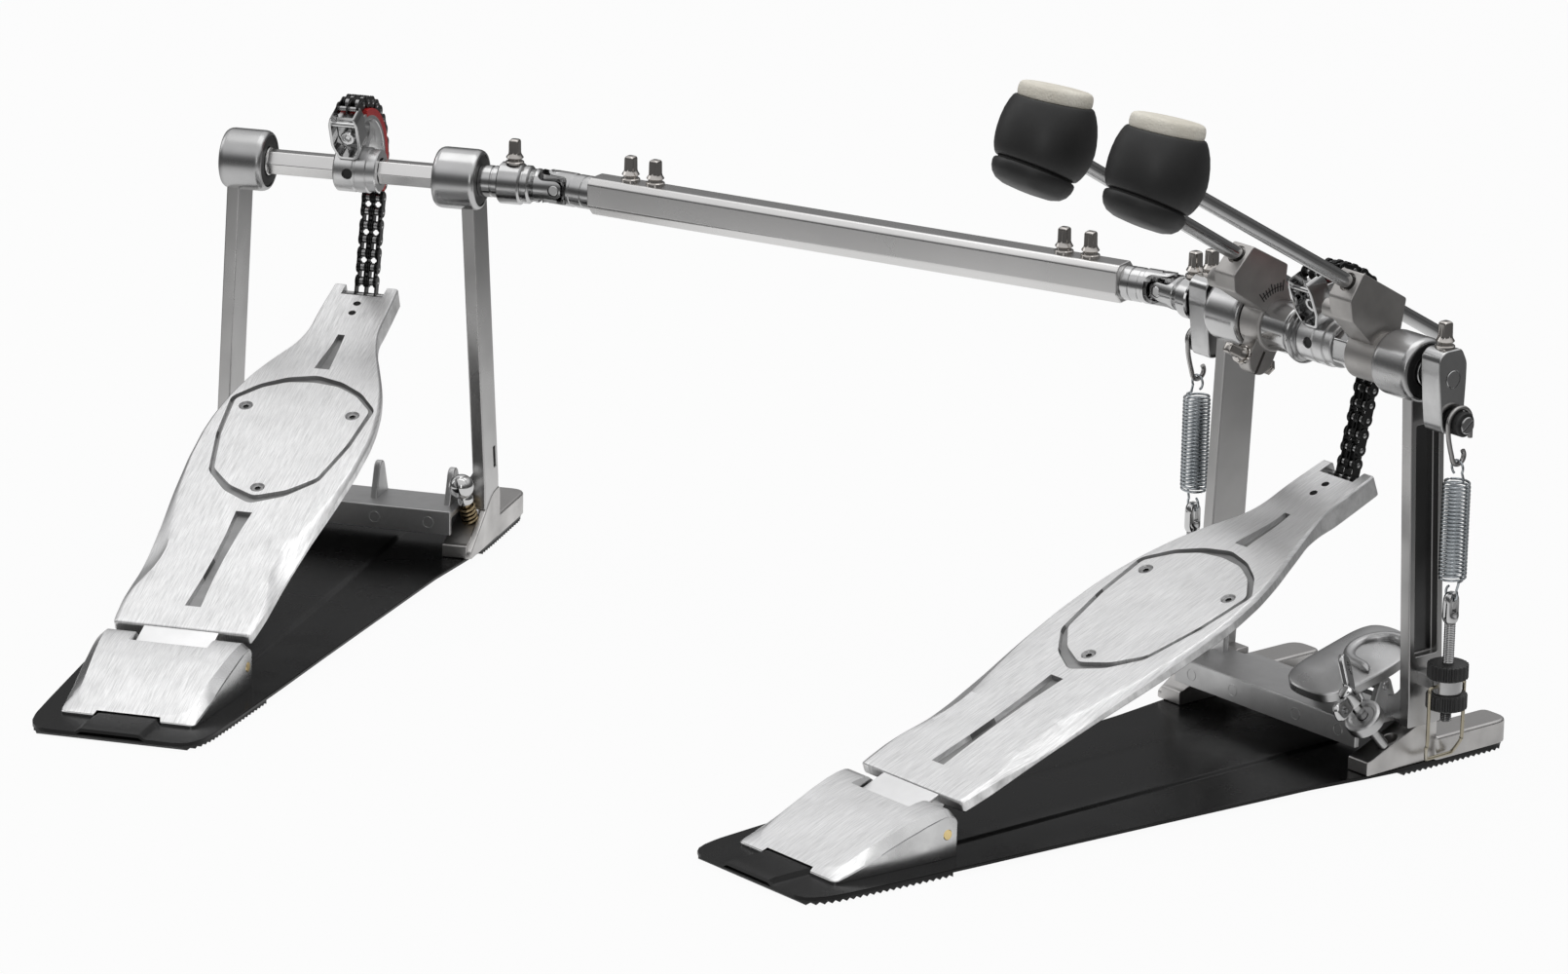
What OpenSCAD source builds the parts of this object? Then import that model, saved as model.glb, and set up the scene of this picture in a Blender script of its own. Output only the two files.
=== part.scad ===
/* [Axle and bearings] */
// height of both axles above the floor
axle_z = 217; // [212:0.5:222]
// axle centre to the inner face of a bearing barrel
barrel_in = 50.5; // [50:0.1:51]
// length of one bearing barrel
barrel_len = 25.5; // [24.5:0.1:26]
// outside diameter of a bearing barrel
barrel_d = 34.6; // [33:0.2:36]
// diameter of the round journals that run in the barrels
journal_d = 16; // [15.4:0.1:16.6]
// radial running clearance of every turning fit
run_c = 0.05; // [0.03:0.01:0.09]
// across flats of the hexagon axle bar
hex_af = 13; // [12:0.1:13.4]

/* [Slave pedal placing] */
// slave pedal centre, to the left of the primary pedal
slave_x = -581; // [-590:1:-570]
// slave pedal centre, towards the player
slave_y = -199; // [-205:1:-190]
// angle between the two pedals
slave_turn = 34.2; // [33:0.1:35]
// axle centre to the centre of a universal joint
joint_x = 120.5; // [119:0.5:123]

/* [Frame casting] */
// thickness of a post
post_t = 7.5; // [6.5:0.1:8.5]
// depth of a post, front to back
post_d = 24; // [22:0.5:26]
// outer side of the feet, from the middle
foot_x = 82; // [81.6:0.1:82.4]
// back end of the feet
foot_back = 68; // [62:1:72]
// front tip of the feet
foot_front = -34; // [-34:0.5:-31]
// height of the crossbar top
bar_top = 30; // [28:0.5:31]
// height of the pivot of the hoop clamp
clamp_z = 45; // [44.5:0.1:45.5]

/* [Base plate and pads] */
// thickness of the rubber pads
pad_t = 2.6; // [2.2:0.1:3]
// thickness of the steel base plate
plate_t = 1.8; // [1.5:0.1:2.2]
// pitch of the ribs under the pads
rib_p = 4; // [3.6:0.2:5]

/* [Heel and footboard] */
// height of the heel hinge pin
pin_z = 16.9; // [16.7:0.1:17.2]
// heel hinge pin, measured back from the axle
pin_y = -290.7; // [-291:0.1:-290]
// diameter of the heel hinge pin
pin_d = 6; // [5:0.1:6.4]
// length of the footboard
board_len = 321.7; // [321:0.1:322.4]
// slope of the footboard at rest
board_slope = 20.45; // [20.3:0.05:20.6]
// thickness of the footboard
board_t = 7; // [6:0.1:7.6]
// width of the hinge tongue
tongue_w = 42.6; // [40:0.2:44]
// side clearance of the hinge tongue
tongue_c = 0.5; // [0.4:0.05:1]

/* [Cam and chain] */
// pitch radius of the chain on the cam
chain_r = 38.5; // [38.2:0.1:38.8]
// pitch of the chain
chain_p = 8; // [7.95:0.01:8.05]
// height of the chain plates
plate_h = 7; // [6.6:0.1:7.1]
// width over the chain pins
chain_w = 13.8; // [13.4:0.1:14.2]
// diameter of the chain rollers
roller_d = 5; // [4.6:0.1:5.2]
// width of the cam rim
cam_w = 16; // [15:0.5:17]

/* [Beaters] */
// diameter of the beater rods
rod_d = 8; // [7.6:0.1:8.4]
// angle of the primary rod above the horizontal
rod_tilt = 29.7; // [29:0.1:30.4]
// angle of the slave rod above the horizontal
rod_tilt2 = 30.5; // [30:0.1:31]
// diameter of the beater heads
head_d = 52; // [48:1:54]
// lean of the beater heads from upright
head_tilt = 14.5; // [12:0.5:17]
// sideways place of the primary rod
rod_x = 38; // [37.5:0.1:38.5]
// sideways place of the slave rod
rod_x2 = -42; // [-42.5:0.1:-41.5]

/* [Return springs] */
// springs, measured sideways from the middle
spring_x = 98; // [97.5:0.1:98.5]
// springs, front to back
spring_y = 2.6; // [2.2:0.1:3]
// outside diameter of the spring coils
spring_d = 15.2; // [14.6:0.1:15.6]
// wire diameter of the springs
wire_d = 1.5; // [1.3:0.05:1.55]
// curls in each spring
curls = 27; // [24:1:27]

/* [Drive shaft] */
// width of the drive tube across its flats
tube_w = 21.8; // [21:0.1:23]
// length of the drive tube
tube_len = 333; // [331:1:335]
// diameter of the sliding rod inside the tube
slide_d = 12; // [11:0.1:13]

/* [Hidden] */
$fn = 48;
eps = 0.01;
deck = pad_t + plate_t;
jr = journal_d / 2;
br = barrel_d / 2;
hex_r = hex_af / 2 / cos(30);
barrel_out = barrel_in + barrel_len;
// board frame: along the board and square to it
bc = cos(board_slope);
bs = sin(board_slope);
heel_y = -279.7;
heel_z = 30.9;
// the toe pin is nine pitches below the point where the chain leaves the cam
toe_s = 318.3;
toe_n = -4.6;
toe_y = heel_y + toe_s * bc - toe_n * bs;
toe_z = heel_z + toe_s * bs + toe_n * bc;
toe_far = sqrt(toe_y * toe_y + (axle_z - toe_z) * (axle_z - toe_z));
toe_a = atan2(toe_y, axle_z - toe_z);
lean = asin(chain_r / toe_far) - toe_a;
free_len = sqrt(toe_far * toe_far - chain_r * chain_r);
free_n = 9;
free_p = free_len / free_n;
step_a = 2 * asin(chain_p / 2 / chain_r);
last_pin = 10;
bend_1 = 3;
bend_2 = 6;
liner_out = chain_r * cos(step_a / 2) - plate_h / 2 - 0.1;
liner_in = liner_out - 1.8;
cam_r = liner_in;
joint_l = [slave_x + joint_x * cos(slave_turn), slave_y + joint_x * sin(slave_turn)];
shaft_v = [-joint_x - joint_l[0], -joint_l[1]];
shaft_len = norm(shaft_v);
shaft_turn = atan2(shaft_v[1], shaft_v[0]);
tube_0 = (shaft_len - tube_len) / 2;
roller_z = axle_z - 23;
roller_y = spring_y;
hook_low = 172;
loop_r = 4;
loop_top = hook_low + 1.3 + wire_d / 2 + 0.1;
coil_top = 164;
coil_low = 109;
eye_top = 103;
nut_low = 40;
nut_h = 8.6;
eye_h = 7.8;

function pin_at(k) = k >= 0
    ? [chain_r * cos(-lean + k * step_a), axle_z + chain_r * sin(-lean + k * step_a)]
    : [toe_y + (free_n + k) * free_p * sin(lean), toe_z + (free_n + k) * free_p * cos(lean)];

alu = [0.78, 0.79, 0.8];
chrome = [0.85, 0.86, 0.88];
steel = [0.62, 0.64, 0.66];
black = [0.06, 0.06, 0.07];
rubber = [0.1, 0.1, 0.1];
brass = [0.75, 0.62, 0.35];

module at_slave() { translate([slave_x, slave_y, 0]) rotate([0, 0, slave_turn]) children(); }
module at_shaft() { translate([joint_l[0], joint_l[1], axle_z]) rotate([0, 0, shaft_turn]) children(); }
module on_axle() { translate([0, 0, axle_z]) children(); }
module on_board() { translate([0, heel_y, heel_z]) rotate([board_slope, 0, 0]) children(); }
// a cylinder along X, from x0 to x1
module xcyl(x0, x1, r) { translate([x0, 0, 0]) rotate([0, 90, 0]) cylinder(h = x1 - x0, r = r); }
// an outline in Y and Z, made thick from x0 to x1
module slab_x(x0, x1, pts) {
    translate([x0, 0, 0]) rotate([90, 0, 90]) linear_extrude(x1 - x0) polygon(pts);
}
// an outline in X and Z, made thick from y0 to y1
module slab_y(y0, y1, pts) {
    translate([0, y1, 0]) rotate([90, 0, 0]) linear_extrude(y1 - y0) polygon(pts);
}
module box(a, b) { translate(a) cube(b - a); }
module wedge(a0, a1, r, x0, x1) {
    n = 6;
    slab_x(x0, x1, concat([[0, 0]], [for (i = [0:n]) let(a = a0 + (a1 - a0) * i / n)
        [r * cos(a), r * sin(a)]]));
}
module key_bolt(r = 3.4) {
    cylinder(h = 1.8, r = 5.3);
    cylinder(h = 6, r = r);
    translate([-3, -3, 5]) cube([6, 6, 8]);
    translate([0, 0, 12.9]) cylinder(h = 1.2, r1 = 3, r2 = 2);
}

// one round tube of small sides along a list of points, for bent wire
function unit(v) = v / norm(v);
function tan_at(p, i) = unit(p[min(i + 1, len(p) - 1)] - p[max(i - 1, 0)]);
function side_of(t) = unit(cross(t, abs(t[0]) < 0.8 ? [1, 0, 0] : [0, 1, 0]));
function carry(n, t) = unit(n - t * (n * t));
function frames(p) = [for (i = 0, n = side_of(tan_at(p, 0)); i < len(p);
    i = i + 1, n = i < len(p) ? carry(n, tan_at(p, i)) : n) n];
module wire(p, r, sides = 6) {
    nn = frames(p);
    pts = [for (i = [0:len(p) - 1]) let(t = tan_at(p, i), n = nn[i], b = cross(t, n))
        for (k = [0:sides - 1]) p[i] + r * (n * cos(360 * k / sides) + b * sin(360 * k / sides))];
    walls = [for (i = [0:len(p) - 2]) for (k = [0:sides - 1]) let(a = i * sides + k,
        b = i * sides + (k + 1) % sides) each [[a, a + sides, b], [b, a + sides, b + sides]]];
    last = (len(p) - 1) * sides;
    polyhedron(pts, concat(walls, [[for (k = [0:sides - 1]) k],
        [for (k = [sides - 1:-1:0]) last + k]]), convexity = 10);
}
function arc_yz(x, c, r, a0, a1, n) = [for (i = [0:n]) let(a = a0 + (a1 - a0) * i / n)
    [x, c[0] + r * cos(a), c[1] + r * sin(a)]];

// cast frame: bearing barrels, posts, feet and crossbar
function post_in(z) = 66.2 + (200 - z) * 0.049;
module post(pocket) {
    difference() {
        slab_y(4 - post_d / 2, 4 + post_d / 2, [[post_in(210), 210], [post_in(deck), deck],
            [post_in(deck) + post_t, deck], [post_in(210) + post_t, 210]]);
        if (pocket) slab_y(4 - post_d / 2 + 4.5, 4 + post_d / 2 - 6,
            [[post_in(188) + post_t - 2.5, 188], [post_in(66) + post_t - 2.5, 66],
            [post_in(66) + 20, 66], [post_in(188) + 20, 188]]);
        if (!pocket) box([70, 8, 47], [90, 13, 59]);
    }
}
module barrel() {
    on_axle() rotate([0, 90, 0]) rotate_extrude() polygon([[jr + run_c, barrel_in + 1.6],
        [12.2, barrel_in + 1.6], [12.2, barrel_in], [br - 3, barrel_in], [br - 0.9, barrel_in + 0.9],
        [br, barrel_in + 3], [br, barrel_out - 3], [br - 0.9, barrel_out - 0.9],
        [br - 3, barrel_out], [12.2, barrel_out], [12.2, barrel_out - 1.6],
        [jr + run_c, barrel_out - 1.6]]);
}
module foot(plain_hole) {
    slab_x(foot_x - 4, foot_x, [[foot_front, deck], [foot_front, deck + 4], [5, 33],
        [16, 34], [16, 17], [foot_back - 3, 17], [foot_back, 14], [foot_back, deck]]);
    slab_x(62, foot_x - 4 + eps, [[14, deck], [14, 16.5], [foot_back - 3, 16.5],
        [foot_back, 13.5], [foot_back, deck]]);
    difference() {
        slab_x(66, foot_x - 4 + eps, [[foot_front, deck], [foot_front, 12], [-30, 12],
            [-30, 11], [8, 28], [16, 28], [16, deck]]);
        if (plain_hole) translate([73, -13, deck + 1]) cylinder(h = 40, r = 4.2);
        if (!plain_hole) spur_place() cylinder(h = 60, r = 3.25, center = true);
    }
}
module spur_place() { translate([73, -13, 26]) rotate([18, -8, 0]) children(); }
module crossbar() {
    slab_x(-70, 70, [[foot_front, 8], [foot_front, bar_top], [2, bar_top], [2, 8], [-1, 8],
        [-1, bar_top - 3], [foot_front + 3, bar_top - 3], [foot_front + 3, 8]]);
    slab_x(-70, 70, [[foot_front, deck], [foot_front, 8 + eps], [foot_front + 3, 8 + eps],
        [foot_front + 3, deck]]);
    slab_x(-70, 70, [[-1, deck], [-1, 8 + eps], [2, 8 + eps], [2, deck]]);
}
clamp_y = -8;
hoop_seat = 26;
ear_a = 16;
ear_b = 60;
ear_t = 4;
ear_hole = 2.6;
module ears() {
    for (x = [ear_a, ear_b]) difference() {
        union() {
            slab_x(x, x + ear_t, [[-20, bar_top - 1], [-13, clamp_z + 1], [-10, clamp_z + 4.2],
                [-6, clamp_z + 4.2], [-3, clamp_z + 1], [2, bar_top - 1]]);
        }
        translate([x - 1, clamp_y, clamp_z]) xcyl(0, ear_t + 2, ear_hole);
    }
    slab_y(-9, -5, [[ear_b + ear_t - eps, bar_top - 1], [ear_b + ear_t - eps, 36],
        [68, 40], [72, 52], [74, 70], [76, 70], [78, 30]]);
}
module bracket() {
    difference() {
        union() {
            translate([spring_x, spring_y, nut_low + nut_h]) cylinder(h = eye_h, r = 7.7);
            box([post_in(50) + 2, spring_y - 4.5, nut_low + nut_h],
                [spring_x, spring_y + 4.5, nut_low + nut_h + eye_h]);
        }
        translate([spring_x, spring_y, nut_low]) cylinder(h = 40, r = 3.15);
    }
}
module frame_half(spring_side) {
    difference() {
        union() {
            post(spring_side);
            foot(spring_side);
            if (spring_side) bracket();
        }
        on_axle() xcyl(0, 300, br - 2);
        if (!spring_side) spur_place() translate([0, 0, -17.3]) cylinder(h = 40, r = 3.25);
    }
    barrel();
}
module frame_cast(spring_side) {
    color(alu) {
        frame_half(spring_side);
        mirror([1, 0, 0]) frame_half(spring_side);
        difference() {
            crossbar();
            if (!spring_side) for (m = [0, 1]) mirror([m, 0, 0]) spur_place()
                translate([0, 0, -17.3]) cylinder(h = 40, r = 3.25);
        }
        ears();
        box([-62, 2 - eps, hoop_seat - 8], [62, 16, hoop_seat]);
    }
}

// black steel base plate with the raised hump at the heel
module base_plate() {
    color(black) {
        difference() {
            translate([0, 0, pad_t]) linear_extrude(plate_t) polygon(concat(
                [for (p = [[38, -386], [46, -380], [50, -364], [54, -320], [57, -280], [66, -160],
                    [73, -70], [78, -34], [81, 0], [81, 60], [76, 67]]) p],
                [for (p = [[-76, 67], [-81, 60], [-81, 0], [-78, -34], [-73, -70], [-66, -160],
                    [-57, -280], [-54, -320], [-50, -364], [-46, -380], [-38, -386]]) p]));
        }
        slab_x(-17, 17, [[-385, deck - eps], [-381, deck + 2.6], [-356, deck + 2.6],
            [-350, deck - eps]]);
    }
}
module ribbed(x0, x1, y0, y1) {
    box([x0, y0, pad_t / 2], [x1, y1, pad_t]);
    for (y = [ceil(y0 / rib_p) * rib_p + 1:rib_p:y1 - rib_p / 2]) box([x0, y - rib_p / 4 - 1, 0],
        [x1, y + rib_p / 4 - 1, pad_t / 2 + eps]);
}
module pads() {
    color(rubber) {
        ribbed(-46, 46, -384.5, -300);
        ribbed(-80, 80, -8, 66);
    }
}

// heel plate casting with its hinge pin
heel_out = 42;
module heel_plate() {
    color(alu) difference() {
        intersection() {
            slab_x(-heel_out, heel_out, [[-283.8, deck], [-283.8, 24], [-285, 27.5], [-288, 29.6],
                [-292, 30], [-305, 27], [-330, 17.5], [-352, 8.5], [-361, 6.2], [-361, deck]]);
            translate([0, 0, deck]) linear_extrude(60) polygon([[-heel_out, -280],
                [-heel_out, -300], [-37, -358], [-34, -362], [34, -362], [37, -358],
                [heel_out, -300], [heel_out, -280]]);
        }
        box([-tongue_w / 2 - tongue_c, -300, deck - 1], [tongue_w / 2 + tongue_c, -280, 60]);
        box([-19, -400, deck - 1], [19, -349, deck + 3]);
        translate([0, pin_y, pin_z]) xcyl(-60, 60, pin_d / 2);
    }
}
module heel_pin() {
    color(brass) translate([0, pin_y, pin_z]) xcyl(-heel_out - 0.3, heel_out + 0.3, pin_d / 2);
}

// footboard, drawn along its own slope
half_w = [[0, 38.6], [4, 39.4], [20, 40.6], [45, 41], [60, 41.6], [90, 43.4], [120, 46.3],
    [150, 48.4], [175, 48.8], [190, 47.8], [208, 45], [220, 41.8], [230, 38.6], [240, 34.6],
    [252, 29.6], [262, 25.2], [272, 21.9], [280, 20.2], [300, 19.8], [board_len, 19]];
shield = [[0, 231], [15.8, 227], [28.8, 218.5], [41, 205.5], [38, 172], [31, 139], [17, 124.3],
    [0, 116], [-17, 124.3], [-31, 139], [-38, 172], [-41, 205.5], [-28.8, 218.5], [-15.8, 227]];
fork_x = 12.4;
screw_at = [[31.4, 199.4], [-31.4, 199.4], [0, 125.5]];
module footboard() {
    color(alu) {
        difference() {
            union() {
                on_board() translate([0, 0, -board_t]) linear_extrude(board_t)
                    polygon(concat([for (p = half_w) [p[1], p[0]]],
                        [for (i = [len(half_w) - 1:-1:0]) [-half_w[i][1], half_w[i][0]]]));
                on_board() for (m = [0, 1]) mirror([m, 0, 0]) translate([fork_x, 272, -12.5])
                    cube([6.6, board_len - 272, 12]);
                on_board() box([-tongue_w / 2, -17.6, -5], [tongue_w / 2, 6, 0]);
                translate([0, pin_y, pin_z]) xcyl(-tongue_w / 2, tongue_w / 2, 7.2);
                on_board() slab_x(-tongue_w / 2, tongue_w / 2, [[-15, -9], [-12, -14.5], [6, -board_t],
                    [6, -2], [-15, -2]]);
            }
            on_board() box([-fork_x, 311.5, -20], [fork_x, 340, 5]);
            translate([0, pin_y, pin_z]) xcyl(-60, 60, pin_d / 2 + run_c);
            translate([0, toe_y, toe_z]) xcyl(-60, 60, 1.6 + run_c);
            on_board() {
                for (p = screw_at) translate([p[0], p[1], -board_t - 1]) cylinder(h = 20, r = 2);
                for (p = screw_at) translate([p[0], p[1], -2.6]) cylinder(h = 20, r = 3.6);
                for (s = [294.5, 303.5]) translate([0, s, -20]) cylinder(h = 40, r = 2.2);
                translate([0, 0, -2.2]) linear_extrude(5) polygon([[-3.8, 240.5], [3.8, 240.5],
                    [1.7, 274], [-1.7, 274]]);
                translate([0, 0, -2.2]) linear_extrude(5) polygon([[-3.7, 20], [3.7, 20],
                    [2.6, 62], [3.4, 104], [-3.4, 104], [-2.6, 62]]);
                for (i = [0:len(shield) - 1]) let(a = shield[i], b = shield[(i + 1) % len(shield)],
                    l = norm(b - a)) translate([a[0], a[1], -0.9])
                    rotate([0, 0, atan2(b[1] - a[1], b[0] - a[0])])
                    translate([-0.6, -0.6, 0]) cube([l + 1.2, 1.2, 2]);
                for (m = [0, 1]) mirror([m, 0, 0]) linear_extrude(20, center = true)
                    polygon([[42, -1], [39.6, -1], [41.4, 30], [45, 30]]);
            }
        }
    }
}
module board_screws() {
    color(steel) on_board() for (p = screw_at) translate([p[0], p[1], 0]) {
        translate([0, 0, -board_t]) cylinder(h = board_t - 2.6 + eps, r = 2);
        difference() {
            translate([0, 0, -2.6]) cylinder(h = 2.3, r = 3.6);
            translate([0, 0, -1.4]) cylinder(h = 4, r = 1.6, $fn = 6);
        }
    }
}

// chain parts: pins k0 to k1, a bore where the next body's pin passes
module link(k) {
    a = pin_at(k);
    b = pin_at(k + 1);
    l = norm(b - a);
    outer = abs(k) % 2 == 1;
    xs = outer ? [-5.9, 0, 5.9] : [-4.75, -1.15, 1.15, 4.75];
    t = 0.9;
    for (x = xs) {
        translate([0, a[0], a[1]]) xcyl(x - t / 2, x + t / 2, plate_h / 2, $fn = 24);
        translate([0, b[0], b[1]]) xcyl(x - t / 2, x + t / 2, plate_h / 2, $fn = 24);
        translate([x - t / 2, a[0], a[1]]) rotate([atan2(b[1] - a[1], b[0] - a[0]), 0, 0])
            translate([0, 0, -plate_h / 2 + 0.5]) cube([t, l, plate_h - 1]);
    }
}
module chain_run(k0, k1, low_pin, high_pin, low_half = 0) {
    color(black) difference() {
        union() {
            for (k = [k0:k1 - 1]) link(k);
            for (k = [k0:k1]) translate([0, pin_at(k)[0], pin_at(k)[1]]) {
                inner = (k == k0 && !low_pin) || (k == k1 && !high_pin);
                both = k > k0 && k < k1;
                if (both || inner) {
                    xcyl(-4.4, -1.4, roller_d / 2);
                    xcyl(1.4, 4.4, roller_d / 2);
                }
                if (!inner) xcyl(k == k0 && low_half > 0 ? -low_half : -chain_w / 2,
                    k == k0 && low_half > 0 ? low_half : chain_w / 2, k == k0 && low_half > 0 ? 1.6 : 1.15);
            }
        }
        if (!low_pin) translate([0, pin_at(k0)[0], pin_at(k0)[1]]) xcyl(-20, 20, 1.15 + run_c);
        if (!high_pin) translate([0, pin_at(k1)[0], pin_at(k1)[1]]) xcyl(-20, 20, 1.15 + run_c);
    }
}

// cam sector with its hub and the chain anchor at the front
hub_a = -9;
hub_b = 16;
module cam() {
    color(alu) on_axle() difference() {
        union() {
            xcyl(hub_a, hub_b, 12);
            difference() {
                intersection() {
                    xcyl(-cam_w / 2, cam_w / 2, cam_r);
                    wedge(-34, 108, 60, -20, 20);
                }
                xcyl(-20, 20, cam_r - 5.5);
            }
            for (a = [-26, 14, 58, 100]) rotate([a, 0, 0]) translate([-4, 10, -2.5])
                cube([8, cam_r - 12, 5]);
            intersection() {
                xcyl(-1.6, 1.6, cam_r - 4);
                wedge(-34, 58, 60, -20, 20);
            }
            rotate([112, 0, 0]) {
                box([-7.4, 10.5, -4], [7.4, chain_r - plate_h / 2 - 0.5, 2]);
                for (x = [-8.8, 7.2]) slab_x(x, x + 1.6, [[13, -4.8], [42, -4.8], [42, 2], [36, 9],
                    [20, 9], [13, 3]]);
            }
        }
        xcyl(-30, 30, hex_r, $fn = 6);
        rotate([90, 0, 0]) cylinder(h = 20, r = 2.9);
    }
}
module liner() {
    color([0.75, 0.08, 0.08]) on_axle() intersection() {
        difference() {
            xcyl(-cam_w / 2, cam_w / 2, liner_out);
            xcyl(-20, 20, liner_in);
        }
        wedge(-34, 102, 60, -20, 20);
    }
}

// primary axle bar, with the end journal that carries the slave sleeve
module hexbar(x0, x1) { xcyl(x0, x1, hex_r, $fn = 6); }
sleeve_0 = -36;
sleeve_1 = -14.5;
tip_r = 6;
module primary_axle() {
    color(chrome) on_axle() {
        xcyl(-32, -13.9, tip_r);
        xcyl(-14, hub_a, 16);
        hexbar(hub_a - eps, barrel_in - 0.4);
        xcyl(hub_b, hub_b + 11.5, 12.2, $fn = 6);
        xcyl(barrel_in - 0.5, barrel_out + 1, jr);
        xcyl(barrel_out + 0.5, 94.8, 5.6);
    }
}

// beater rod, square to the line from the axle to the rod
module rod(x, far, tilt, reach) {
    color(steel) translate([x, 0, axle_z]) rotate([-tilt, 0, 0]) translate([0, 0, far])
        rotate([90, 0, 0]) translate([0, 0, -39]) cylinder(h = 39 + reach, r = rod_d / 2);
}
module head_place(x, far, tilt, reach) {
    translate([x, 0, axle_z]) rotate([-tilt, 0, 0]) translate([0, -reach, far]) children();
}
module head_at(x, far, tilt, reach) {
    head_place(x, far, tilt, reach) rotate([tilt - head_tilt, 0, 0]) children();
}
head_bore = 13;
module beater_shell(tilt) {
    color(black) difference() {
        rotate_extrude() polygon([[0, -27], [17, -27], [20, -25.5], [21.5, -22], [21.5, -17],
            [20.3, -15.5], [21.5, -13.5], [head_d / 2 - 2, -9], [head_d / 2, -3],
            [head_d / 2 - 0.3, 6], [head_d / 2 - 2, 14], [head_d / 2 - 3.4, 20],
            [head_d / 2 - 4, 21], [0, 21]]);
        rotate([head_tilt - tilt, 0, 0]) rotate([90, 0, 0]) translate([0, 0, -60])
            cylinder(h = 60 + head_bore, r = rod_d / 2);
    }
}
module beater_felt() {
    color([0.9, 0.87, 0.8]) translate([0, 0, 21]) rotate_extrude() polygon([[0, 0],
        [head_d / 2 - 4.4, 0], [head_d / 2 - 4, 1.5], [head_d / 2 - 4.4, 5], [head_d / 2 - 6, 6.5],
        [0, 6.5]]);
}
off_1 = 26;
off_2 = 22;
reach_1 = 198;
reach_2 = 201.6;

// rocker on the end of an axle, with key bolt, and its roller
module rocker() {
    color(chrome) difference() {
        union() {
            on_axle() slab_x(barrel_out + 4.5, 94.5, [[-10, 12], [-6, 15.5], [6, 15.5], [10, 8],
                [10, -2], [9.3, -18], [7, -29], [-4.5, -29], [-6.5, -26], [-10, 2]]);
            translate([87.5, 0, axle_z + 15.4]) key_bolt();
        }
        on_axle() xcyl(barrel_out, 100, 5.6);
        translate([0, roller_y, roller_z]) xcyl(barrel_out, 100, 2.5);
    }
}
module roller() {
    translate([0, roller_y, roller_z]) difference() {
        union() {
            color(black) xcyl(94.6, 102.6, 6.6);
            color(steel) xcyl(80.6, 103.4, 2.5);
            color(steel) xcyl(102.5, 104.4, 4.6);
        }
        box([103.6, -6, -0.6], [106, 6, 0.6]);
    }
}
hook_c = 6.6 + 1.3 + 0.15;
module hook() {
    color(chrome) wire(concat(
        [[spring_x, roller_y + hook_c, roller_z - 9], [spring_x, roller_y + hook_c, roller_z - 4]],
        arc_yz(spring_x, [roller_y, roller_z], hook_c, 0, 180, 10),
        [[spring_x, roller_y - hook_c + 0.4, roller_z - 6], [spring_x, roller_y - 4.5, hook_low + 5]],
        arc_yz(spring_x, [roller_y, hook_low + 4.2], 4.2, 190, 400, 9)), 1.3, 8);
}
top_c = loop_top - loop_r;
low_c = 102.5;
spring_path = let(rc = (spring_d - wire_d) / 2) concat(
    [for (i = [9:-1:1]) let(a = -62 + 30 * i) [loop_r * cos(a), 0, low_c - loop_r * sin(a)]],
    [[4.4, 0, coil_low - 1.75]],
    [for (i = [0:curls * 8]) let(a = 45 * i) [rc * cos(a), rc * sin(a),
        coil_low + (coil_top - coil_low) * i / curls / 8]],
    [[4.4, 0, coil_top + 1.75]],
    [for (i = [1:9]) let(a = -62 + 30 * i) [loop_r * cos(a), 0, top_c + loop_r * sin(a)]]);
gaps = [for (i = [0:len(spring_path) - 1]) for (j = [i + 5:len(spring_path) - 1])
    norm(spring_path[i] - spring_path[j])];
echo(spring_gap = min(gaps) - wire_d);
module spring() {
    color(steel) translate([spring_x, spring_y, 0]) wire(spring_path, wire_d / 2, 6);
}
module eye_rod() {
    color(chrome) translate([spring_x, spring_y, 0]) difference() {
        union() {
            translate([0, 0, 33]) cylinder(h = 56, r = 3);
            translate([0, 0, 87]) cylinder(h = eye_top - 87, r = 4.2);
        }
        translate([-8, -1.35, 92]) cube([16, 2.7, 8.7]);
        for (m = [0, 1]) mirror([m, 0, 0]) translate([1.9, -6, 91]) cube([6, 12, 20]);
    }
}
module nuts() {
    for (z = [nut_low, nut_low + nut_h + eye_h]) color(black)
        translate([spring_x, spring_y, z]) difference() {
        union() {
            cylinder(h = nut_h, r = 10.4);
            for (a = [0:15:359]) rotate([0, 0, a]) translate([0, -1, 0.8]) cube([10.9, 2, nut_h - 1.6]);
        }
        translate([0, 0, -1]) cylinder(h = 20, r = 3);
    }
}
bail_x = post_in(8) + post_t + 1.2;
module bail() {
    color(steel) wire([[spring_x, spring_y - 7.75, 53], [spring_x, spring_y - 11, 53],
        [spring_x, spring_y - 12.6, 51.4], [spring_x, spring_y - 12.6, 48],
        [spring_x, spring_y - 12.6, 22], [spring_x - 1.5, spring_y - 11.8, 20],
        [bail_x + 1.3, 0, 9.5], [bail_x, 1.5, 8], [bail_x, 20, 8],
        [bail_x + 1.3, 21, 9.5], [spring_x - 1.5, spring_y + 13, 20],
        [spring_x, spring_y + 12.6, 22], [spring_x, spring_y + 12.6, 48],
        [spring_x, spring_y + 12.6, 51.4], [spring_x, spring_y + 11, 53],
        [spring_x, spring_y + 7.75, 53]], 1, 8);
}

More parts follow.
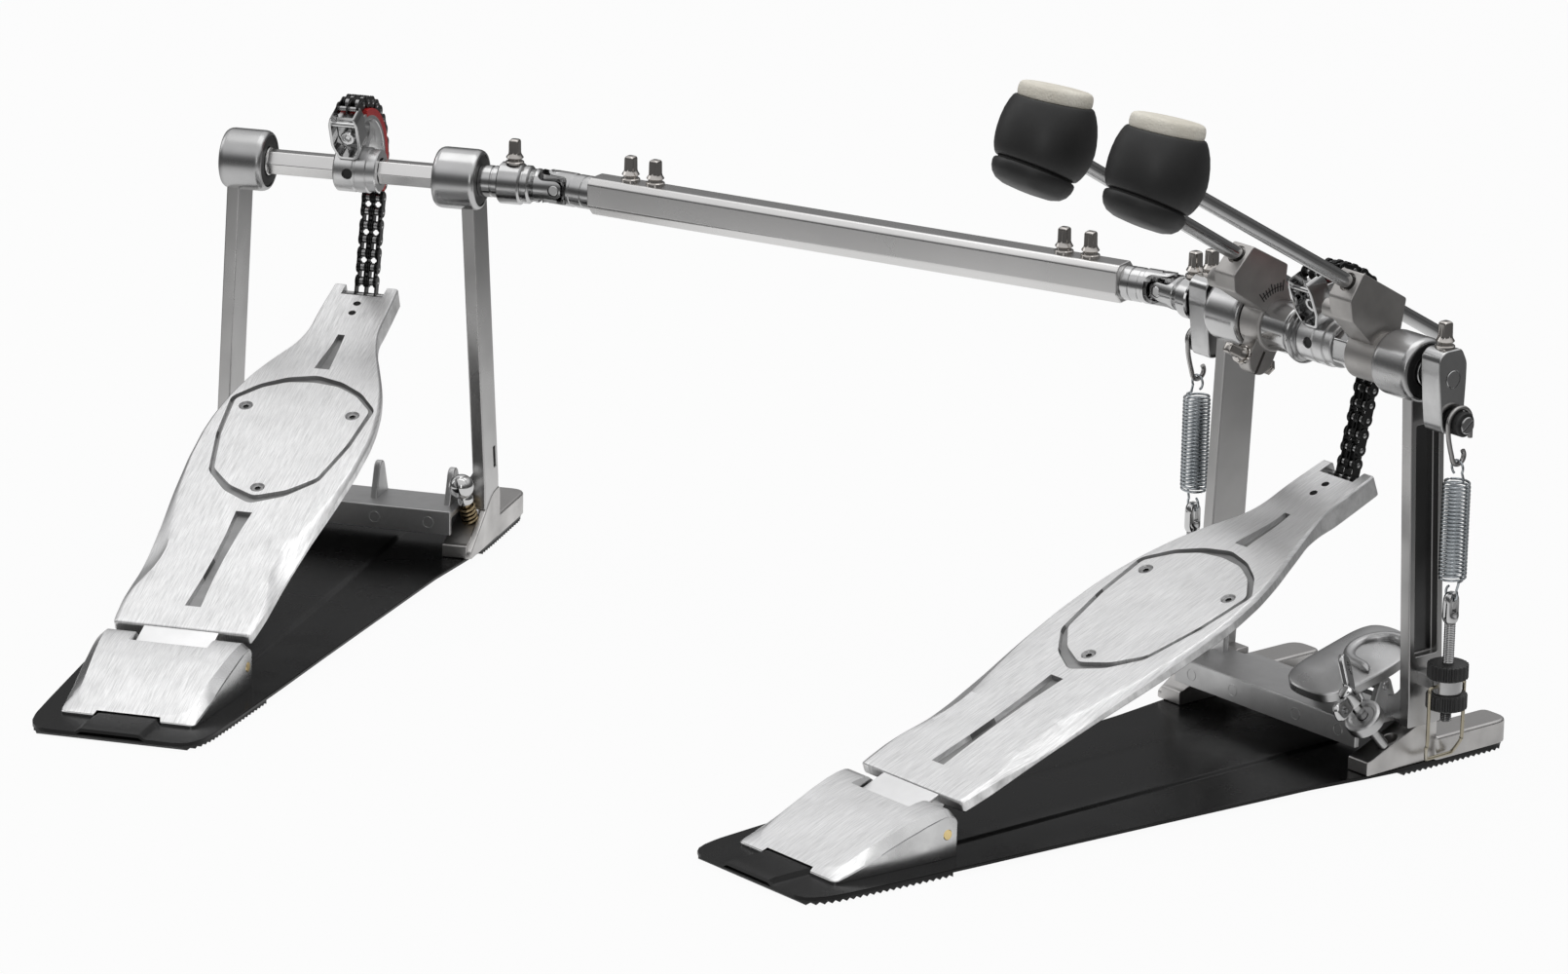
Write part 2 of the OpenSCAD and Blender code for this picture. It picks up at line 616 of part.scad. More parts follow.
// hoop clamp on its two ears, moved by the wing bolt in the right foot
bolt_tilt = 40;
bolt_at = [76, -33.4, 34];
module bolt_frame() { translate(bolt_at) rotate([bolt_tilt, 0, 0]) children(); }
module hoop_clamp() {
    color(alu) difference() {
        union() {
            translate([0, clamp_y, clamp_z]) rotate([14, 0, 0]) translate([0, 0, 5])
                linear_extrude(5) polygon([[24, -32], [34, -38], [62, -38], [66, -10], [66, 10],
                [60, 30], [40, 36], [24, 34], [19, 24], [19, -20]]);
            for (x = [ear_a + ear_t + 0.4, ear_b - 5.4]) difference() {
                slab_x(x, x + 5, [[clamp_y - 5, clamp_z - 4.5], [clamp_y - 7, clamp_z + 6],
                    [clamp_y + 7, clamp_z + 8.5], [clamp_y + 5, clamp_z - 4.5]]);
            }
            translate([0, clamp_y, clamp_z]) xcyl(ear_a - 0.5, ear_b + ear_t + 0.5, ear_hole - run_c);
            bolt_frame() translate([0, 0, -1.8]) cylinder(h = 6.8, r = 10.5);
            hull() {
                bolt_frame() translate([-6, 0, -1.5]) cylinder(h = 4.5, r = 6);
                translate([56, -34, 42]) cube([6, 10, 5]);
            }
        }
        bolt_frame() translate([0, 0, -30]) cylinder(h = 60, r = 3.1);
    }
}
module hoop_pad() {
    color(rubber) translate([0, clamp_y, clamp_z]) rotate([14, 0, 0]) translate([0, 0, 2.6])
        linear_extrude(2.4) polygon([[22, 14], [56, 14], [56, 31], [40, 35], [26, 33]]);
}
module wing_bolt() {
    color(chrome) bolt_frame() {
        translate([0, 0, -21]) cylinder(h = 44, r = 3);
        translate([0, 0, 16]) cylinder(h = 9, r = 5);
        rotate([0, 0, 35]) for (s = [-1, 1]) translate([0, 0, 20]) rotate([0, 0, 90 - 90 * s])
            difference() {
                translate([3, -2, -3]) rotate([0, -25, 0]) cube([19, 4, 9]);
                translate([8, -5, 4.5]) rotate([-90, 0, 0]) translate([4, -1.5, 0])
                    cylinder(h = 10, r = 2.2);
            }
    }
}

// universal joints: the centre is at the origin, pins along Y and Z
cross_pin = 2.5;
yoke_in = 5.6;
yoke_out = 9.2;
ear_r = 5;
module cross_piece() {
    color(chrome) difference() {
        union() {
            translate([-4.4, -4.4, -4.4]) cube(8.8);
            rotate([90, 0, 0]) cylinder(h = 2 * yoke_out + 0.6, r = cross_pin, center = true);
            cylinder(h = 2 * yoke_out - 0.6, r = cross_pin, center = true);
        }
    }
}
// ears of a yoke whose shaft runs towards -X; the pin lies along Y
module yoke_ears(hole, back) {
    for (s = [-1, 1]) difference() {
        union() {
            rotate([90, 0, 0]) translate([0, 0, s > 0 ? yoke_in : -yoke_out])
                cylinder(h = yoke_out - yoke_in, r = ear_r);
            translate([-back, s > 0 ? -yoke_out : yoke_in, -ear_r])
                cube([back, yoke_out - yoke_in, 2 * ear_r]);
        }
        rotate([90, 0, 0]) cylinder(h = 60, r = hole, center = true);
    }
}
pin_open = 3.05;
module tube_yoke() {
    rotate([90, 0, 0]) yoke_ears(pin_open, 11);
    xcyl(-tube_0, -10.5, 9.4);
}
// slave end: the axle with its hexagon bar, collar and yoke
module slave_axle() {
    color(chrome) on_axle() {
        hexbar(-barrel_in - 1, barrel_in - 0.4);
        xcyl(-barrel_out - 1, -barrel_in + 0.5, jr);
        xcyl(barrel_in - 0.5, barrel_out + 0.5, jr);
        xcyl(barrel_out + 0.4, 87, 9);
        xcyl(86.9, 106, 11.8);
        xcyl(105.9, 110.5, 9.2);
        translate([95, 0, 11.5]) key_bolt();
        translate([joint_x, 0, 0]) yoke_ears(cross_pin + run_c, 11);
    }
}
// auxiliary shaft on the primary pedal, from the right joint to the slave hub
module aux_shaft() {
    color(chrome) on_axle() {
        translate([-joint_x, 0, 0]) rotate([0, 0, 180]) yoke_ears(cross_pin + run_c, 11);
        xcyl(-110.5, -103.9, 9.2);
        difference() {
            xcyl(-104, -95.5, 11.8);
            box([-106, -6, 11.5], [-94, 6, 13]);
        }
        xcyl(-96, -barrel_out - 1, 5.6);
        xcyl(-barrel_out - 1, -barrel_in, jr);
        difference() {
            union() {
                xcyl(-barrel_in - eps, sleeve_0 + eps, jr);
                xcyl(sleeve_0, sleeve_1, 13.6);
            }
            xcyl(-33, 0, tip_r + run_c);
        }
    }
}
module left_rocker() {
    mirror([1, 0, 0]) rocker();
}
// outlines of the rod blocks in Y and Z, measured from the axle
slave_block = [[-20.6, 45.5], [5, 31.9], [4, 23.3], [9.3, 10], [-10, 8], [-33, 22.6], [-34.3, 31.7]];
primary_block = [[-19, 48.5], [12.8, 30.3], [9.7, 14], [8, 8], [-10, 8], [-25.7, 23.3], [-28, 35]];
module slave_hub() {
    color(alu) difference() {
        union() {
            on_axle() xcyl(-49.9, sleeve_0, 15);
            on_axle() slab_x(-49.9, sleeve_0 + 1.4, slave_block);
            translate([-46, 0, axle_z]) rotate([-28, 0, 0]) box([0, -9, -29], [9, 9, -8]);
        }
        on_axle() xcyl(-60, sleeve_0 + eps, jr);
        on_axle() xcyl(sleeve_0, 0, 13.6);
        head_place(rod_x2, off_2, rod_tilt2, 0) rotate([90, 0, 0])
            cylinder(h = 200, r = rod_d / 2 + run_c, center = true);
        translate([-48, 0, axle_z]) rotate([-28, 0, 0]) box([-5, -0.9, -40], [20, 0.9, -7.9]);
        translate([-41.5, 0, axle_z]) rotate([-28, 0, 0]) translate([0, 0, -22]) rotate([90, 0, 0])
            cylinder(h = 60, r = 2.5, center = true);
    }
}
module primary_hub() {
    color(alu) difference() {
        union() {
            on_axle() xcyl(hub_b + 12, barrel_in - 0.9, 14);
            on_axle() slab_x(rod_x - 8.5, rod_x + 8, primary_block);
        }
        on_axle() hexbar(0, 60);
        head_place(rod_x, off_1, rod_tilt, 0) rotate([90, 0, 0])
            cylinder(h = 200, r = rod_d / 2 + run_c, center = true);
    }
}
module aux_bolts() {
    color(chrome) {
        on_axle() translate([-100, 0, 11.5]) key_bolt();
        translate([-41.5, 0, axle_z]) rotate([-28, 0, 0]) translate([0, 0, -22]) {
            rotate([90, 0, 0]) cylinder(h = 21, r = 2.5, center = true);
            translate([0, -9, 0]) rotate([90, 0, 0]) key_bolt();
            translate([0, 9, 0]) rotate([-90, 0, 0]) cylinder(h = 3.4, r = 4.6, $fn = 6);
        }
    }
}
// drive tube: flat top, tall front face and slanted lower face
tube_sec = [[-tube_w / 2 + 3, tube_w / 2], [tube_w / 2 - 6, tube_w / 2], [tube_w / 2, tube_w / 2 - 6],
    [tube_w / 2, -tube_w / 2 + 6], [tube_w / 2 - 6, -tube_w / 2], [-tube_w / 2 + 6, -tube_w / 2],
    [-tube_w / 2, -tube_w / 2 + 6], [-tube_w / 2, tube_w / 2 - 3]];
end_plug = 40;
module drive_tube() {
    color(chrome) at_shaft() difference() {
        slab_x(tube_0, tube_0 + tube_len, tube_sec);
        xcyl(tube_0 - 1, tube_0 + tube_len + 1, slide_d / 2 + run_c);
        xcyl(tube_0 + tube_len - end_plug, tube_0 + tube_len + 1, 9);
    }
}
module right_yoke() {
    color(chrome) at_shaft() translate([shaft_len, 0, 0]) {
        tube_yoke();
        xcyl(-tube_0 - end_plug, -tube_0 + eps, 9);
    }
}
module left_yoke() {
    color(chrome) at_shaft() {
        mirror([1, 0, 0]) tube_yoke();
        xcyl(tube_0 - 0.4, tube_0 + 200, slide_d / 2);
    }
}
module tube_bolts() {
    color(chrome) at_shaft() for (x = [tube_0 + 22, tube_0 + 38, tube_0 + tube_len - 38,
        tube_0 + tube_len - 22]) translate([x, 0, tube_w / 2]) key_bolt();
}
// spur of the slave pedal: screw with a ball head and a small lock coil
module slave_spur() {
    color(chrome) at_slave() spur_place() {
        translate([0, 0, -17]) cylinder(h = 30, r = 3.2);
        translate([0, 0, 17]) sphere(r = 7.2);
    }
}

frame_cast(true);  // primary_frame
base_plate();  // primary_base_plate
pads();  // primary_pads
heel_plate();  // primary_heel_plate
heel_pin();  // primary_heel_pin
union() { bail(); mirror([1, 0, 0]) bail(); }  // wire_bails
union() { nuts(); mirror([1, 0, 0]) nuts(); }  // tension_nuts
hoop_clamp();
hoop_pad();
wing_bolt();
primary_axle();
cam();  // primary_cam
liner();  // primary_liner
chain_run(bend_2, last_pin, false, true);  // primary_cam_chain
primary_hub();
rod(rod_x, off_1, rod_tilt, reach_1 + head_bore);  // primary_rod
head_at(rod_x, off_1, rod_tilt, reach_1)  // primary_beater
    beater_shell(rod_tilt);
head_at(rod_x, off_1, rod_tilt, reach_1)  // primary_felt
    beater_felt();
rocker();  // right_rocker
roller();  // right_roller
footboard();  // primary_footboard
board_screws();  // primary_screws
chain_run(-free_n, 0, true, true, 18.5);  // primary_chain
chain_run(bend_1, bend_2, true, true);  // primary_bend_a
chain_run(0, bend_1, false, false);  // primary_bend_b
hook();  // right_hook
spring();  // right_spring
eye_rod();  // right_eye_rod
left_rocker();
mirror([1, 0, 0]) roller();  // left_roller
mirror([1, 0, 0]) hook();  // left_hook
mirror([1, 0, 0]) spring();  // left_spring
mirror([1, 0, 0]) eye_rod();  // left_eye_rod
aux_shaft();
slave_hub();
rod(rod_x2, off_2, rod_tilt2, reach_2 + head_bore);  // slave_rod
head_at(rod_x2, off_2, rod_tilt2, reach_2)  // slave_beater
    beater_shell(rod_tilt2);
head_at(rod_x2, off_2, rod_tilt2, reach_2)  // slave_felt
    beater_felt();
aux_bolts();
translate([-joint_x, 0, axle_z]) cross_piece();  // right_cross
right_yoke();
drive_tube();
tube_bolts();
left_yoke();
at_slave() translate([joint_x, 0, axle_z]) cross_piece();  // left_cross
at_slave() frame_cast(false);  // slave_frame
at_slave() base_plate();  // slave_base_plate
at_slave() pads();  // slave_pads
at_slave() heel_plate();  // slave_heel_plate
at_slave() heel_pin();  // slave_heel_pin
slave_spur();
at_slave() slave_axle();
at_slave() cam();  // slave_cam
at_slave() liner();  // slave_liner
at_slave() chain_run(bend_2, last_pin, false, true);  // slave_cam_chain
at_slave() footboard();  // slave_footboard
at_slave() board_screws();  // slave_screws
at_slave() chain_run(-free_n, 0, true, true, 18.5);  // slave_chain
at_slave() chain_run(bend_1, bend_2, true, true);  // slave_bend_a
at_slave() chain_run(0, bend_1, false, false);  // slave_bend_b
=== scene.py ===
"""Double bass drum pedal, dressed for a picture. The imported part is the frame: its solids keep their place,
and pieces with finer surfaces, which ride on the same bodies, stand in for all of them."""

import math

import bmesh
import bpy
import numpy as np
from mathutils import Matrix, Vector


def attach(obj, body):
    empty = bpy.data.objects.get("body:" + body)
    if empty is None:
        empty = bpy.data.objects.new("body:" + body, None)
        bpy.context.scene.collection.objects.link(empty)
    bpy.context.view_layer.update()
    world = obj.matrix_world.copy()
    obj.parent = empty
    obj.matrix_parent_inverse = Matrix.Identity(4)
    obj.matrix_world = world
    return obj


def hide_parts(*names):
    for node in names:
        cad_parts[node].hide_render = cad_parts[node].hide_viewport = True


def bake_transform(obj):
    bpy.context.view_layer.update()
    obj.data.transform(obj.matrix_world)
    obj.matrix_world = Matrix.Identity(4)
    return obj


bl_info = {
    "name": "Double bass drum pedal",
    "version": (1, 0, 0),
    "blender": (4, 5, 0),
    "location": "View3D > Sidebar > Pedal",
    "description": "Builds the finishes and fine pieces of a double bass drum pedal on its packed frame",
    "category": "Object",
}

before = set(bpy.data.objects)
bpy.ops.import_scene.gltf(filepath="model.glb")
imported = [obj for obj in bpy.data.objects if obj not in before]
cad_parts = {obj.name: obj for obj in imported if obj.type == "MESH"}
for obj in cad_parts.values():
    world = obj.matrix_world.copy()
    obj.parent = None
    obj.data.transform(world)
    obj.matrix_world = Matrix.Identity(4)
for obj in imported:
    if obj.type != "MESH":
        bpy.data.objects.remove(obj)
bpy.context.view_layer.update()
MADE = {}

# Sizes are in mm. AXLE is the height of both axles, SLAVE_AT and SLAVE_TURN are the slave pedal's place and
# turn, JOINT_X is the way from a pedal's middle to its universal joint, and HEEL and HEEL_PIN are the hinge
# end of the footboard's top and the hinge pin in Y and Z.
MM = 0.001
AXLE = 217.0
SLAVE_AT = np.array([-581.0, -199.0, 0.0])
SLAVE_TURN = math.radians(34.2)
JOINT_X = 120.5
BOARD_SLOPE = math.radians(20.45)
HEEL = (-279.7, 30.9)
HEEL_PIN = (-290.7, 16.9)


# Places


def turn_z(p, a):
    """p turned by a about Z: (x cos a - y sin a, x sin a + y cos a, z)."""
    p = np.asarray(p, float)
    c, s = math.cos(a), math.sin(a)
    return np.stack([p[..., 0] * c - p[..., 1] * s, p[..., 0] * s + p[..., 1] * c, p[..., 2]], -1)


def turn_x(p, a):
    """p turned by a about X."""
    p = np.asarray(p, float)
    c, s = math.cos(a), math.sin(a)
    return np.stack([p[..., 0], p[..., 1] * c - p[..., 2] * s, p[..., 1] * s + p[..., 2] * c], -1)


def turn_y(p, a):
    """p turned by a about Y."""
    p = np.asarray(p, float)
    c, s = math.cos(a), math.sin(a)
    return np.stack([p[..., 0] * c + p[..., 2] * s, p[..., 1], -p[..., 0] * s + p[..., 2] * c], -1)


def at_primary(p):
    return np.asarray(p, float)


def at_slave(p):
    return turn_z(p, SLAVE_TURN) + SLAVE_AT


def on_axle(p):
    return np.asarray(p, float) + [0, 0, AXLE]


def on_board(p):
    """From along-the-board coordinates (x, s, n) to the pedal's own frame."""
    return turn_x(p, BOARD_SLOPE) + [0, HEEL[0], HEEL[1]]


JOINT_L = at_slave([JOINT_X, 0, AXLE])
JOINT_R = np.array([-JOINT_X, 0, AXLE])
SHAFT_LEN = float(np.linalg.norm(JOINT_R - JOINT_L))
SHAFT_TURN = math.atan2(JOINT_R[1] - JOINT_L[1], JOINT_R[0] - JOINT_L[0])


def at_shaft(p):
    """From drive shaft coordinates, x from the left joint to the right one, to the row frame."""
    return turn_z(p, SHAFT_TURN) + JOINT_L


def mirror_x(p):
    return np.asarray(p, float) * [-1, 1, 1]


# The pedals: name, place, and what the names of their brushed finishes end in. The spring sides: name,
# place, and the body that carries the rocker.
SIDES = (("primary", at_primary, ""), ("slave", at_slave, " slave"))
ENDS = (("right", at_primary, "primary_rotor"), ("left", mirror_x, "aux_body"))


# Surfaces


class Shape:
    """Points as an (n, 3) array in mm, faces as lists of point numbers, and how many faces each closed part
    has."""

    def __init__(self, v, f, parts=None):
        self.v = np.asarray(v, float).reshape(-1, 3)
        self.f = f
        self.parts = parts or [len(f)]

    def put(self, *moves):
        v = self.v
        for m in moves:
            v = m(v)
        return Shape(v, self.f, self.parts)

    def __add__(self, other):
        return joined([self, other])


def joined(shapes):
    """Many shapes as one."""
    shapes = list(shapes)
    starts = np.cumsum([0] + [len(s.v) for s in shapes])
    faces = [[i + int(n) for i in q] for s, n in zip(shapes, starts) for q in s.f]
    return Shape(np.vstack([s.v for s in shapes]), faces, [n for s in shapes for n in s.parts])


def around(n):
    """n even angles round a circle."""
    return np.linspace(0, 2 * math.pi, n, endpoint=False)


def ease(s):
    """The smooth step s^2 (3 - 2 s)."""
    return s * s * (3 - 2 * s)


def shift(x=0.0, y=0.0, z=0.0):
    return lambda p: np.asarray(p, float) + [x, y, z]


def skin(rings, loop=False, caps=True):
    """A surface over a grid: rings[i, j] is the point at step i along and j around; quads join neighbours."""
    rings = np.asarray(rings, float)
    m, n = rings.shape[:2]
    i = np.arange(m if loop else m - 1)[:, None]
    j = np.arange(n)[None, :]
    a = i * n + j
    b = i * n + (j + 1) % n
    c = ((i + 1) % m) * n + (j + 1) % n
    d = ((i + 1) % m) * n + j
    faces = np.stack([a, b, c, d], -1).reshape(-1, 4).tolist()
    if caps and not loop:
        faces.append(list(range(n))[::-1])
        faces.append(list(range((m - 1) * n, m * n)))
    return Shape(rings.reshape(-1, 3), faces)


def turned(profile, n=48, loop=False):
    """A turned piece about X: S(t, a) = (x(t), r(t) cos a, r(t) sin a) over the profile's points (x, r)."""
    p = np.asarray(profile, float)
    a = around(n)
    rings = np.stack([np.repeat(p[:, :1], n, 1), p[:, 1:] * np.cos(a), p[:, 1:] * np.sin(a)], -1)
    return skin(rings, loop=loop, caps=not loop and min(p[0, 1], p[-1, 1]) > 1e-6)


def spun(r, z, a, loop=False):
    """Rings about Z: ring i lies at height z[i] and has the radius r[i, j] at the angle a[j]."""
    z = np.asarray(z, float)[:, None]
    r = np.broadcast_to(r, (len(z), len(a)))
    return skin(np.stack([r * np.cos(a), r * np.sin(a), np.broadcast_to(z, r.shape)], -1), loop)


def hex_radius(a):
    """The radius at the angle a of a hexagon whose flats are 1 from its centre."""
    return 1 / np.cos((a + math.pi / 6) % (math.pi / 3) - math.pi / 6)


def upright(profile, n=48, loop=False):
    """A turned piece about Z, from profile points (r, z)."""
    p = np.asarray(profile, float)[:, ::-1]
    return turned(p, n, loop).put(lambda v: v[:, [1, 2, 0]])


def rod_x(x0, x1, r, e=0.4, n=32):
    """A round bar along X with its ends chamfered by e."""
    return turned([(x0, 0), (x0, r - e), (x0 + e, r), (x1 - e, r), (x1, r - e), (x1, 0)], n)


def fillet(corners, r, n=5):
    """Rounds each corner P of a closed outline with the curve (1-t)^2 A + 2t(1-t) P + t^2 B, A and B lying
    r before and after P."""
    p = np.asarray(corners, float)
    r = np.broadcast_to(np.asarray(r, float), (len(p),))[:, None]
    before, after = np.roll(p, 1, 0) - p, np.roll(p, -1, 0) - p
    lb, la = np.linalg.norm(before, axis=1)[:, None], np.linalg.norm(after, axis=1)[:, None]
    a = p + before / lb * np.minimum(r, lb * 0.46)
    b = p + after / la * np.minimum(r, la * 0.46)
    t = np.linspace(0, 1, n)[None, :, None]
    return ((1 - t) ** 2 * a[:, None] + 2 * t * (1 - t) * p[:, None] + t**2 * b[:, None]).reshape(-1, 2)


def offset(outline, d):
    """The outline moved outwards by d: each point along the bisector of its two edges' normals.
    Counter-clockwise outlines."""
    p = np.asarray(outline, float)
    e = np.roll(p, -1, 0) - p
    e /= np.maximum(np.linalg.norm(e, axis=1), 1e-9)[:, None]
    nn = np.stack([e[:, 1], -e[:, 0]], 1)
    pn = np.roll(nn, 1, 0)
    return p + d * (nn + pn) / np.maximum(1 + (nn * pn).sum(1), 0.3)[:, None]


def ccw(outline):
    p = np.asarray(outline, float)
    area = np.sum(p[:, 0] * np.roll(p[:, 1], -1) - np.roll(p[:, 0], -1) * p[:, 1])
    return p if area > 0 else p[::-1]


def slab(outline, z0, z1, e=0.5, steps=3, top=None):
    """An outline made thick from z0 to z1. Its rim follows a quarter circle of radius e at both faces:
    inset e(1 - sin a), height e(1 - cos a)."""
    p = ccw(outline)
    top = e if top is None else top
    a = np.linspace(0, math.pi / 2, steps + 1)
    ins = np.concatenate([e * (1 - np.sin(a)), top * (1 - np.sin(a[::-1]))])
    z = np.concatenate([z0 + e * (1 - np.cos(a)), z1 - top * (1 - np.cos(a[::-1]))])
    return skin(np.stack([np.c_[offset(p, -i), np.full(len(p), h)] for i, h in zip(ins, z)]))


def slab_x(outline_yz, x0, x1, e=0.5, steps=3):
    """A slab that is thick along X, from an outline in Y and Z."""
    return slab(outline_yz, x0, x1, e, steps).put(lambda v: v[:, [2, 0, 1]])


def slab_y(outline_xz, y0, y1, e=0.5, steps=3):
    """A slab that is thick along Y, from an outline in X and Z."""
    return slab(outline_xz, -y1, -y0, e, steps).put(lambda v: np.stack([v[:, 0], -v[:, 2], v[:, 1]], 1))


def block(lo, hi, e=0.5, steps=3):
    """A box with rounded edges and corners."""
    lo, hi = np.asarray(lo, float), np.asarray(hi, float)
    rect = [(lo[0], lo[1]), (hi[0], lo[1]), (hi[0], hi[1]), (lo[0], hi[1])]
    return slab(fillet(rect, e * 1.7, 4), lo[2], hi[2], e, steps)


def tube(path, r, up=(0, 0, 1), n=12, loop=False):
    """A round wire along a path: P + r(side cos a + over sin a), side = tangent x up, over = side x
    tangent."""
    p = np.asarray(path, float)
    t = (np.roll(p, -1, 0) - np.roll(p, 1, 0)) if loop else np.gradient(p, axis=0)
    t /= np.linalg.norm(t, axis=1)[:, None]
    up = np.broadcast_to(np.asarray(up, float), p.shape)
    side = np.cross(t, up)
    side /= np.linalg.norm(side, axis=1)[:, None]
    over = np.cross(side, t)
    a = around(n)[None, :, None]
    r = np.broadcast_to(np.asarray(r, float), (len(p),))[:, None, None]
    return skin(p[:, None] + r * (side[:, None] * np.cos(a) + over[:, None] * np.sin(a)), loop=loop)


def smooth_path(points, steps=8):
    """A Catmull-Rom curve through the points."""
    p = np.asarray(points, float)
    q = np.vstack([2 * p[0] - p[1], p, 2 * p[-1] - p[-2]])
    t = np.linspace(0, 1, steps, endpoint=False)[None, :, None]
    a, b, c, d = (q[k : len(q) - 3 + k, None] for k in range(4))
    square, cube = 2 * a - 5 * b + 4 * c - d, 3 * b - a - 3 * c + d
    out = 0.5 * (2 * b + (c - a) * t + square * t**2 + cube * t**3)
    return np.vstack([out.reshape(-1, p.shape[1]), p[-1]])


def pill(x, y, r, n=24):
    """The outline of a round hole, or with n = 6 of a hexagon."""
    a = around(n)
    return np.stack([x + r * np.cos(a), y + r * np.sin(a)], 1)


# Pieces


def outward(shape):
    """The faces with each closed part turned to face outwards: where the part's volume, the sum of p0 . (p1
    x p2) / 6 over its triangles, is negative, its faces run the other way round."""
    out, start = [], 0
    for count in shape.parts:
        faces = shape.f[start : start + count]
        start += count
        quads = np.array([q for q in faces if len(q) == 4])
        fans = [(q[0], q[k], q[k + 1]) for q in faces if len(q) != 4 for k in range(1, len(q) - 1)]
        tris = np.vstack([quads[:, [0, 1, 2]], quads[:, [0, 2, 3]]] + ([np.array(fans)] if fans else []))
        p = shape.v[tris] - shape.v[tris[0, 0]]
        volume = np.einsum("ij,ij->i", p[:, 0], np.cross(p[:, 1], p[:, 2])).sum()
        out += [q[::-1] for q in faces] if volume < 0 else faces
    return out


def mesh_of(name, shape, sharp=32):
    """A Blender mesh from a Shape in mm, doubles merged, faces outward, edges over `sharp` degrees kept
    crisp."""
    mesh = bpy.data.meshes.new(name)
    mesh.from_pydata((shape.v * MM).tolist(), [], outward(shape))
    bm = bmesh.new()
    bm.from_mesh(mesh)
    bmesh.ops.remove_doubles(bm, verts=bm.verts, dist=2e-6)
    bm.to_mesh(mesh)
    bm.free()
    mesh.polygons.foreach_set("use_smooth", np.ones(len(mesh.polygons), bool))
    mesh.set_sharp_from_angle(angle=math.radians(sharp))
    mesh.update()
    return mesh


def bake_modifiers(obj):
    """Applies an object's modifiers to its mesh."""
    dg = bpy.context.evaluated_depsgraph_get()
    done = bpy.data.meshes.new_from_object(obj.evaluated_get(dg), depsgraph=dg)
    obj.modifiers.clear()
    obj.data = done


def carve(obj, cutter, sharp=32, fuse=True):
    """Takes the cutter's volume out of obj. `fuse` also makes one body of the parts of obj that overlap."""
    tool = bpy.data.objects.new("cutter", mesh_of("cutter", cutter))
    bpy.context.scene.collection.objects.link(tool)
    m = obj.modifiers.new("cut", "BOOLEAN")
    m.operation, m.solver, m.object, m.use_self = "DIFFERENCE", "EXACT", tool, fuse
    bake_modifiers(obj)
    bpy.data.objects.remove(tool)
    obj.data.polygons.foreach_set("use_smooth", np.ones(len(obj.data.polygons), bool))
    obj.data.set_sharp_from_angle(angle=math.radians(sharp))


def round_edges(obj, width, angle):
    """Rounds the edges that turn more than `angle` degrees."""
    m = obj.modifiers.new("edges", "BEVEL")
    m.width, m.segments, m.limit_method, m.angle_limit = width * MM, 2, "ANGLE", math.radians(angle)
    m.use_clamp_overlap, m.harden_normals, m.miter_outer = True, True, "MITER_ARC"
    bake_modifiers(obj)


def weigh_normals(obj):
    """Lets large flat faces decide the shading, so narrow rounded rims don't bend it."""
    m = obj.modifiers.new("normals", "WEIGHTED_NORMAL")
    m.mode, m.weight, m.keep_sharp = "FACE_AREA", 80, True
    bake_modifiers(obj)


def piece(name, shape, look, body, stands_for=(), cut=None, edges=0.0, sharp=32, fuse=True):
    """Makes a piece from a Shape, takes `cut` out of it, rounds its edges, and lets it ride on a body."""
    obj = bpy.data.objects.new(name, mesh_of(name, shape, sharp))
    bpy.context.scene.collection.objects.link(obj)
    if cut is not None:
        carve(obj, cut, sharp, fuse)
    if edges:
        round_edges(obj, edges, sharp)
    weigh_normals(obj)
    obj.data.materials.clear()
    obj.data.materials.append(MADE[look])
    if body:
        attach(obj, body)
    if stands_for:
        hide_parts(*([stands_for] if isinstance(stands_for, str) else stands_for))
    return obj


# Finishes


GROUPS = {}
SLOTS = {}
BUMP_DEPTH = 0.00012


def feed(nt, value, socket):
    """Links a socket where the value is another node's socket, and sets it where the value is plain."""
    if isinstance(value, bpy.types.NodeSocket):
        nt.links.new(value, socket)
    else:
        socket.default_value = value


def add(nt, kind, inputs=None, **settings):
    """Adds a shader node with its settings, and feeds its inputs."""
    n = nt.nodes.new("ShaderNode" + kind)
    for key, value in settings.items():
        setattr(n, key, value)
    for key, value in (inputs or {}).items():
        feed(nt, value, n.inputs[key])
    return n


def math_node(nt, operation, *values):
    return add(nt, "Math", dict(enumerate(values)), operation=operation).outputs[0]


def noise(nt, vector, scale, detail, rough=0.5):
    inputs = {"Vector": vector, "Scale": scale, "Detail": detail, "Roughness": rough}
    return add(nt, "TexNoise", inputs).outputs["Fac"]


def spread(nt, value, lo, hi, from_lo=0.3, from_hi=0.7):
    """Maps a noise value to lo...hi."""
    inputs = {"Value": value, "From Min": from_lo, "From Max": from_hi, "To Min": lo, "To Max": hi}
    return add(nt, "MapRange", inputs).outputs["Result"]


def surface_group(name, draw):
    """A node group with a vector, two scales, two colours and two roughnesses in, and colour, roughness and
    height out. draw(nodes, inputs) makes the height, a mask between the colours and one between the
    roughnesses."""
    g = bpy.data.node_groups.new(name, "ShaderNodeTree")
    kinds = (("Vector", "Vector"), ("Fine", "Float"), ("Coarse", "Float"), ("Dark", "Color"),
             ("Light", "Color"), ("Smooth", "Float"), ("Rough", "Float"))
    for key, kind in kinds:
        g.interface.new_socket(key, in_out="INPUT", socket_type="NodeSocket" + kind)
    for key, kind in (("Color", "Color"), ("Roughness", "Float"), ("Height", "Float")):
        g.interface.new_socket(key, in_out="OUTPUT", socket_type="NodeSocket" + kind)
    i, o = g.nodes.new("NodeGroupInput").outputs, g.nodes.new("NodeGroupOutput").inputs
    height, tone, wear = draw(g, i)
    colour = add(g, "Mix", {"Factor": tone, 6: i["Dark"], 7: i["Light"]}, data_type="RGBA")
    feed(g, colour.outputs[2], o["Color"])
    feed(g, spread(g, wear, i["Rough"], i["Smooth"]), o["Roughness"])
    feed(g, height, o["Height"])
    return g


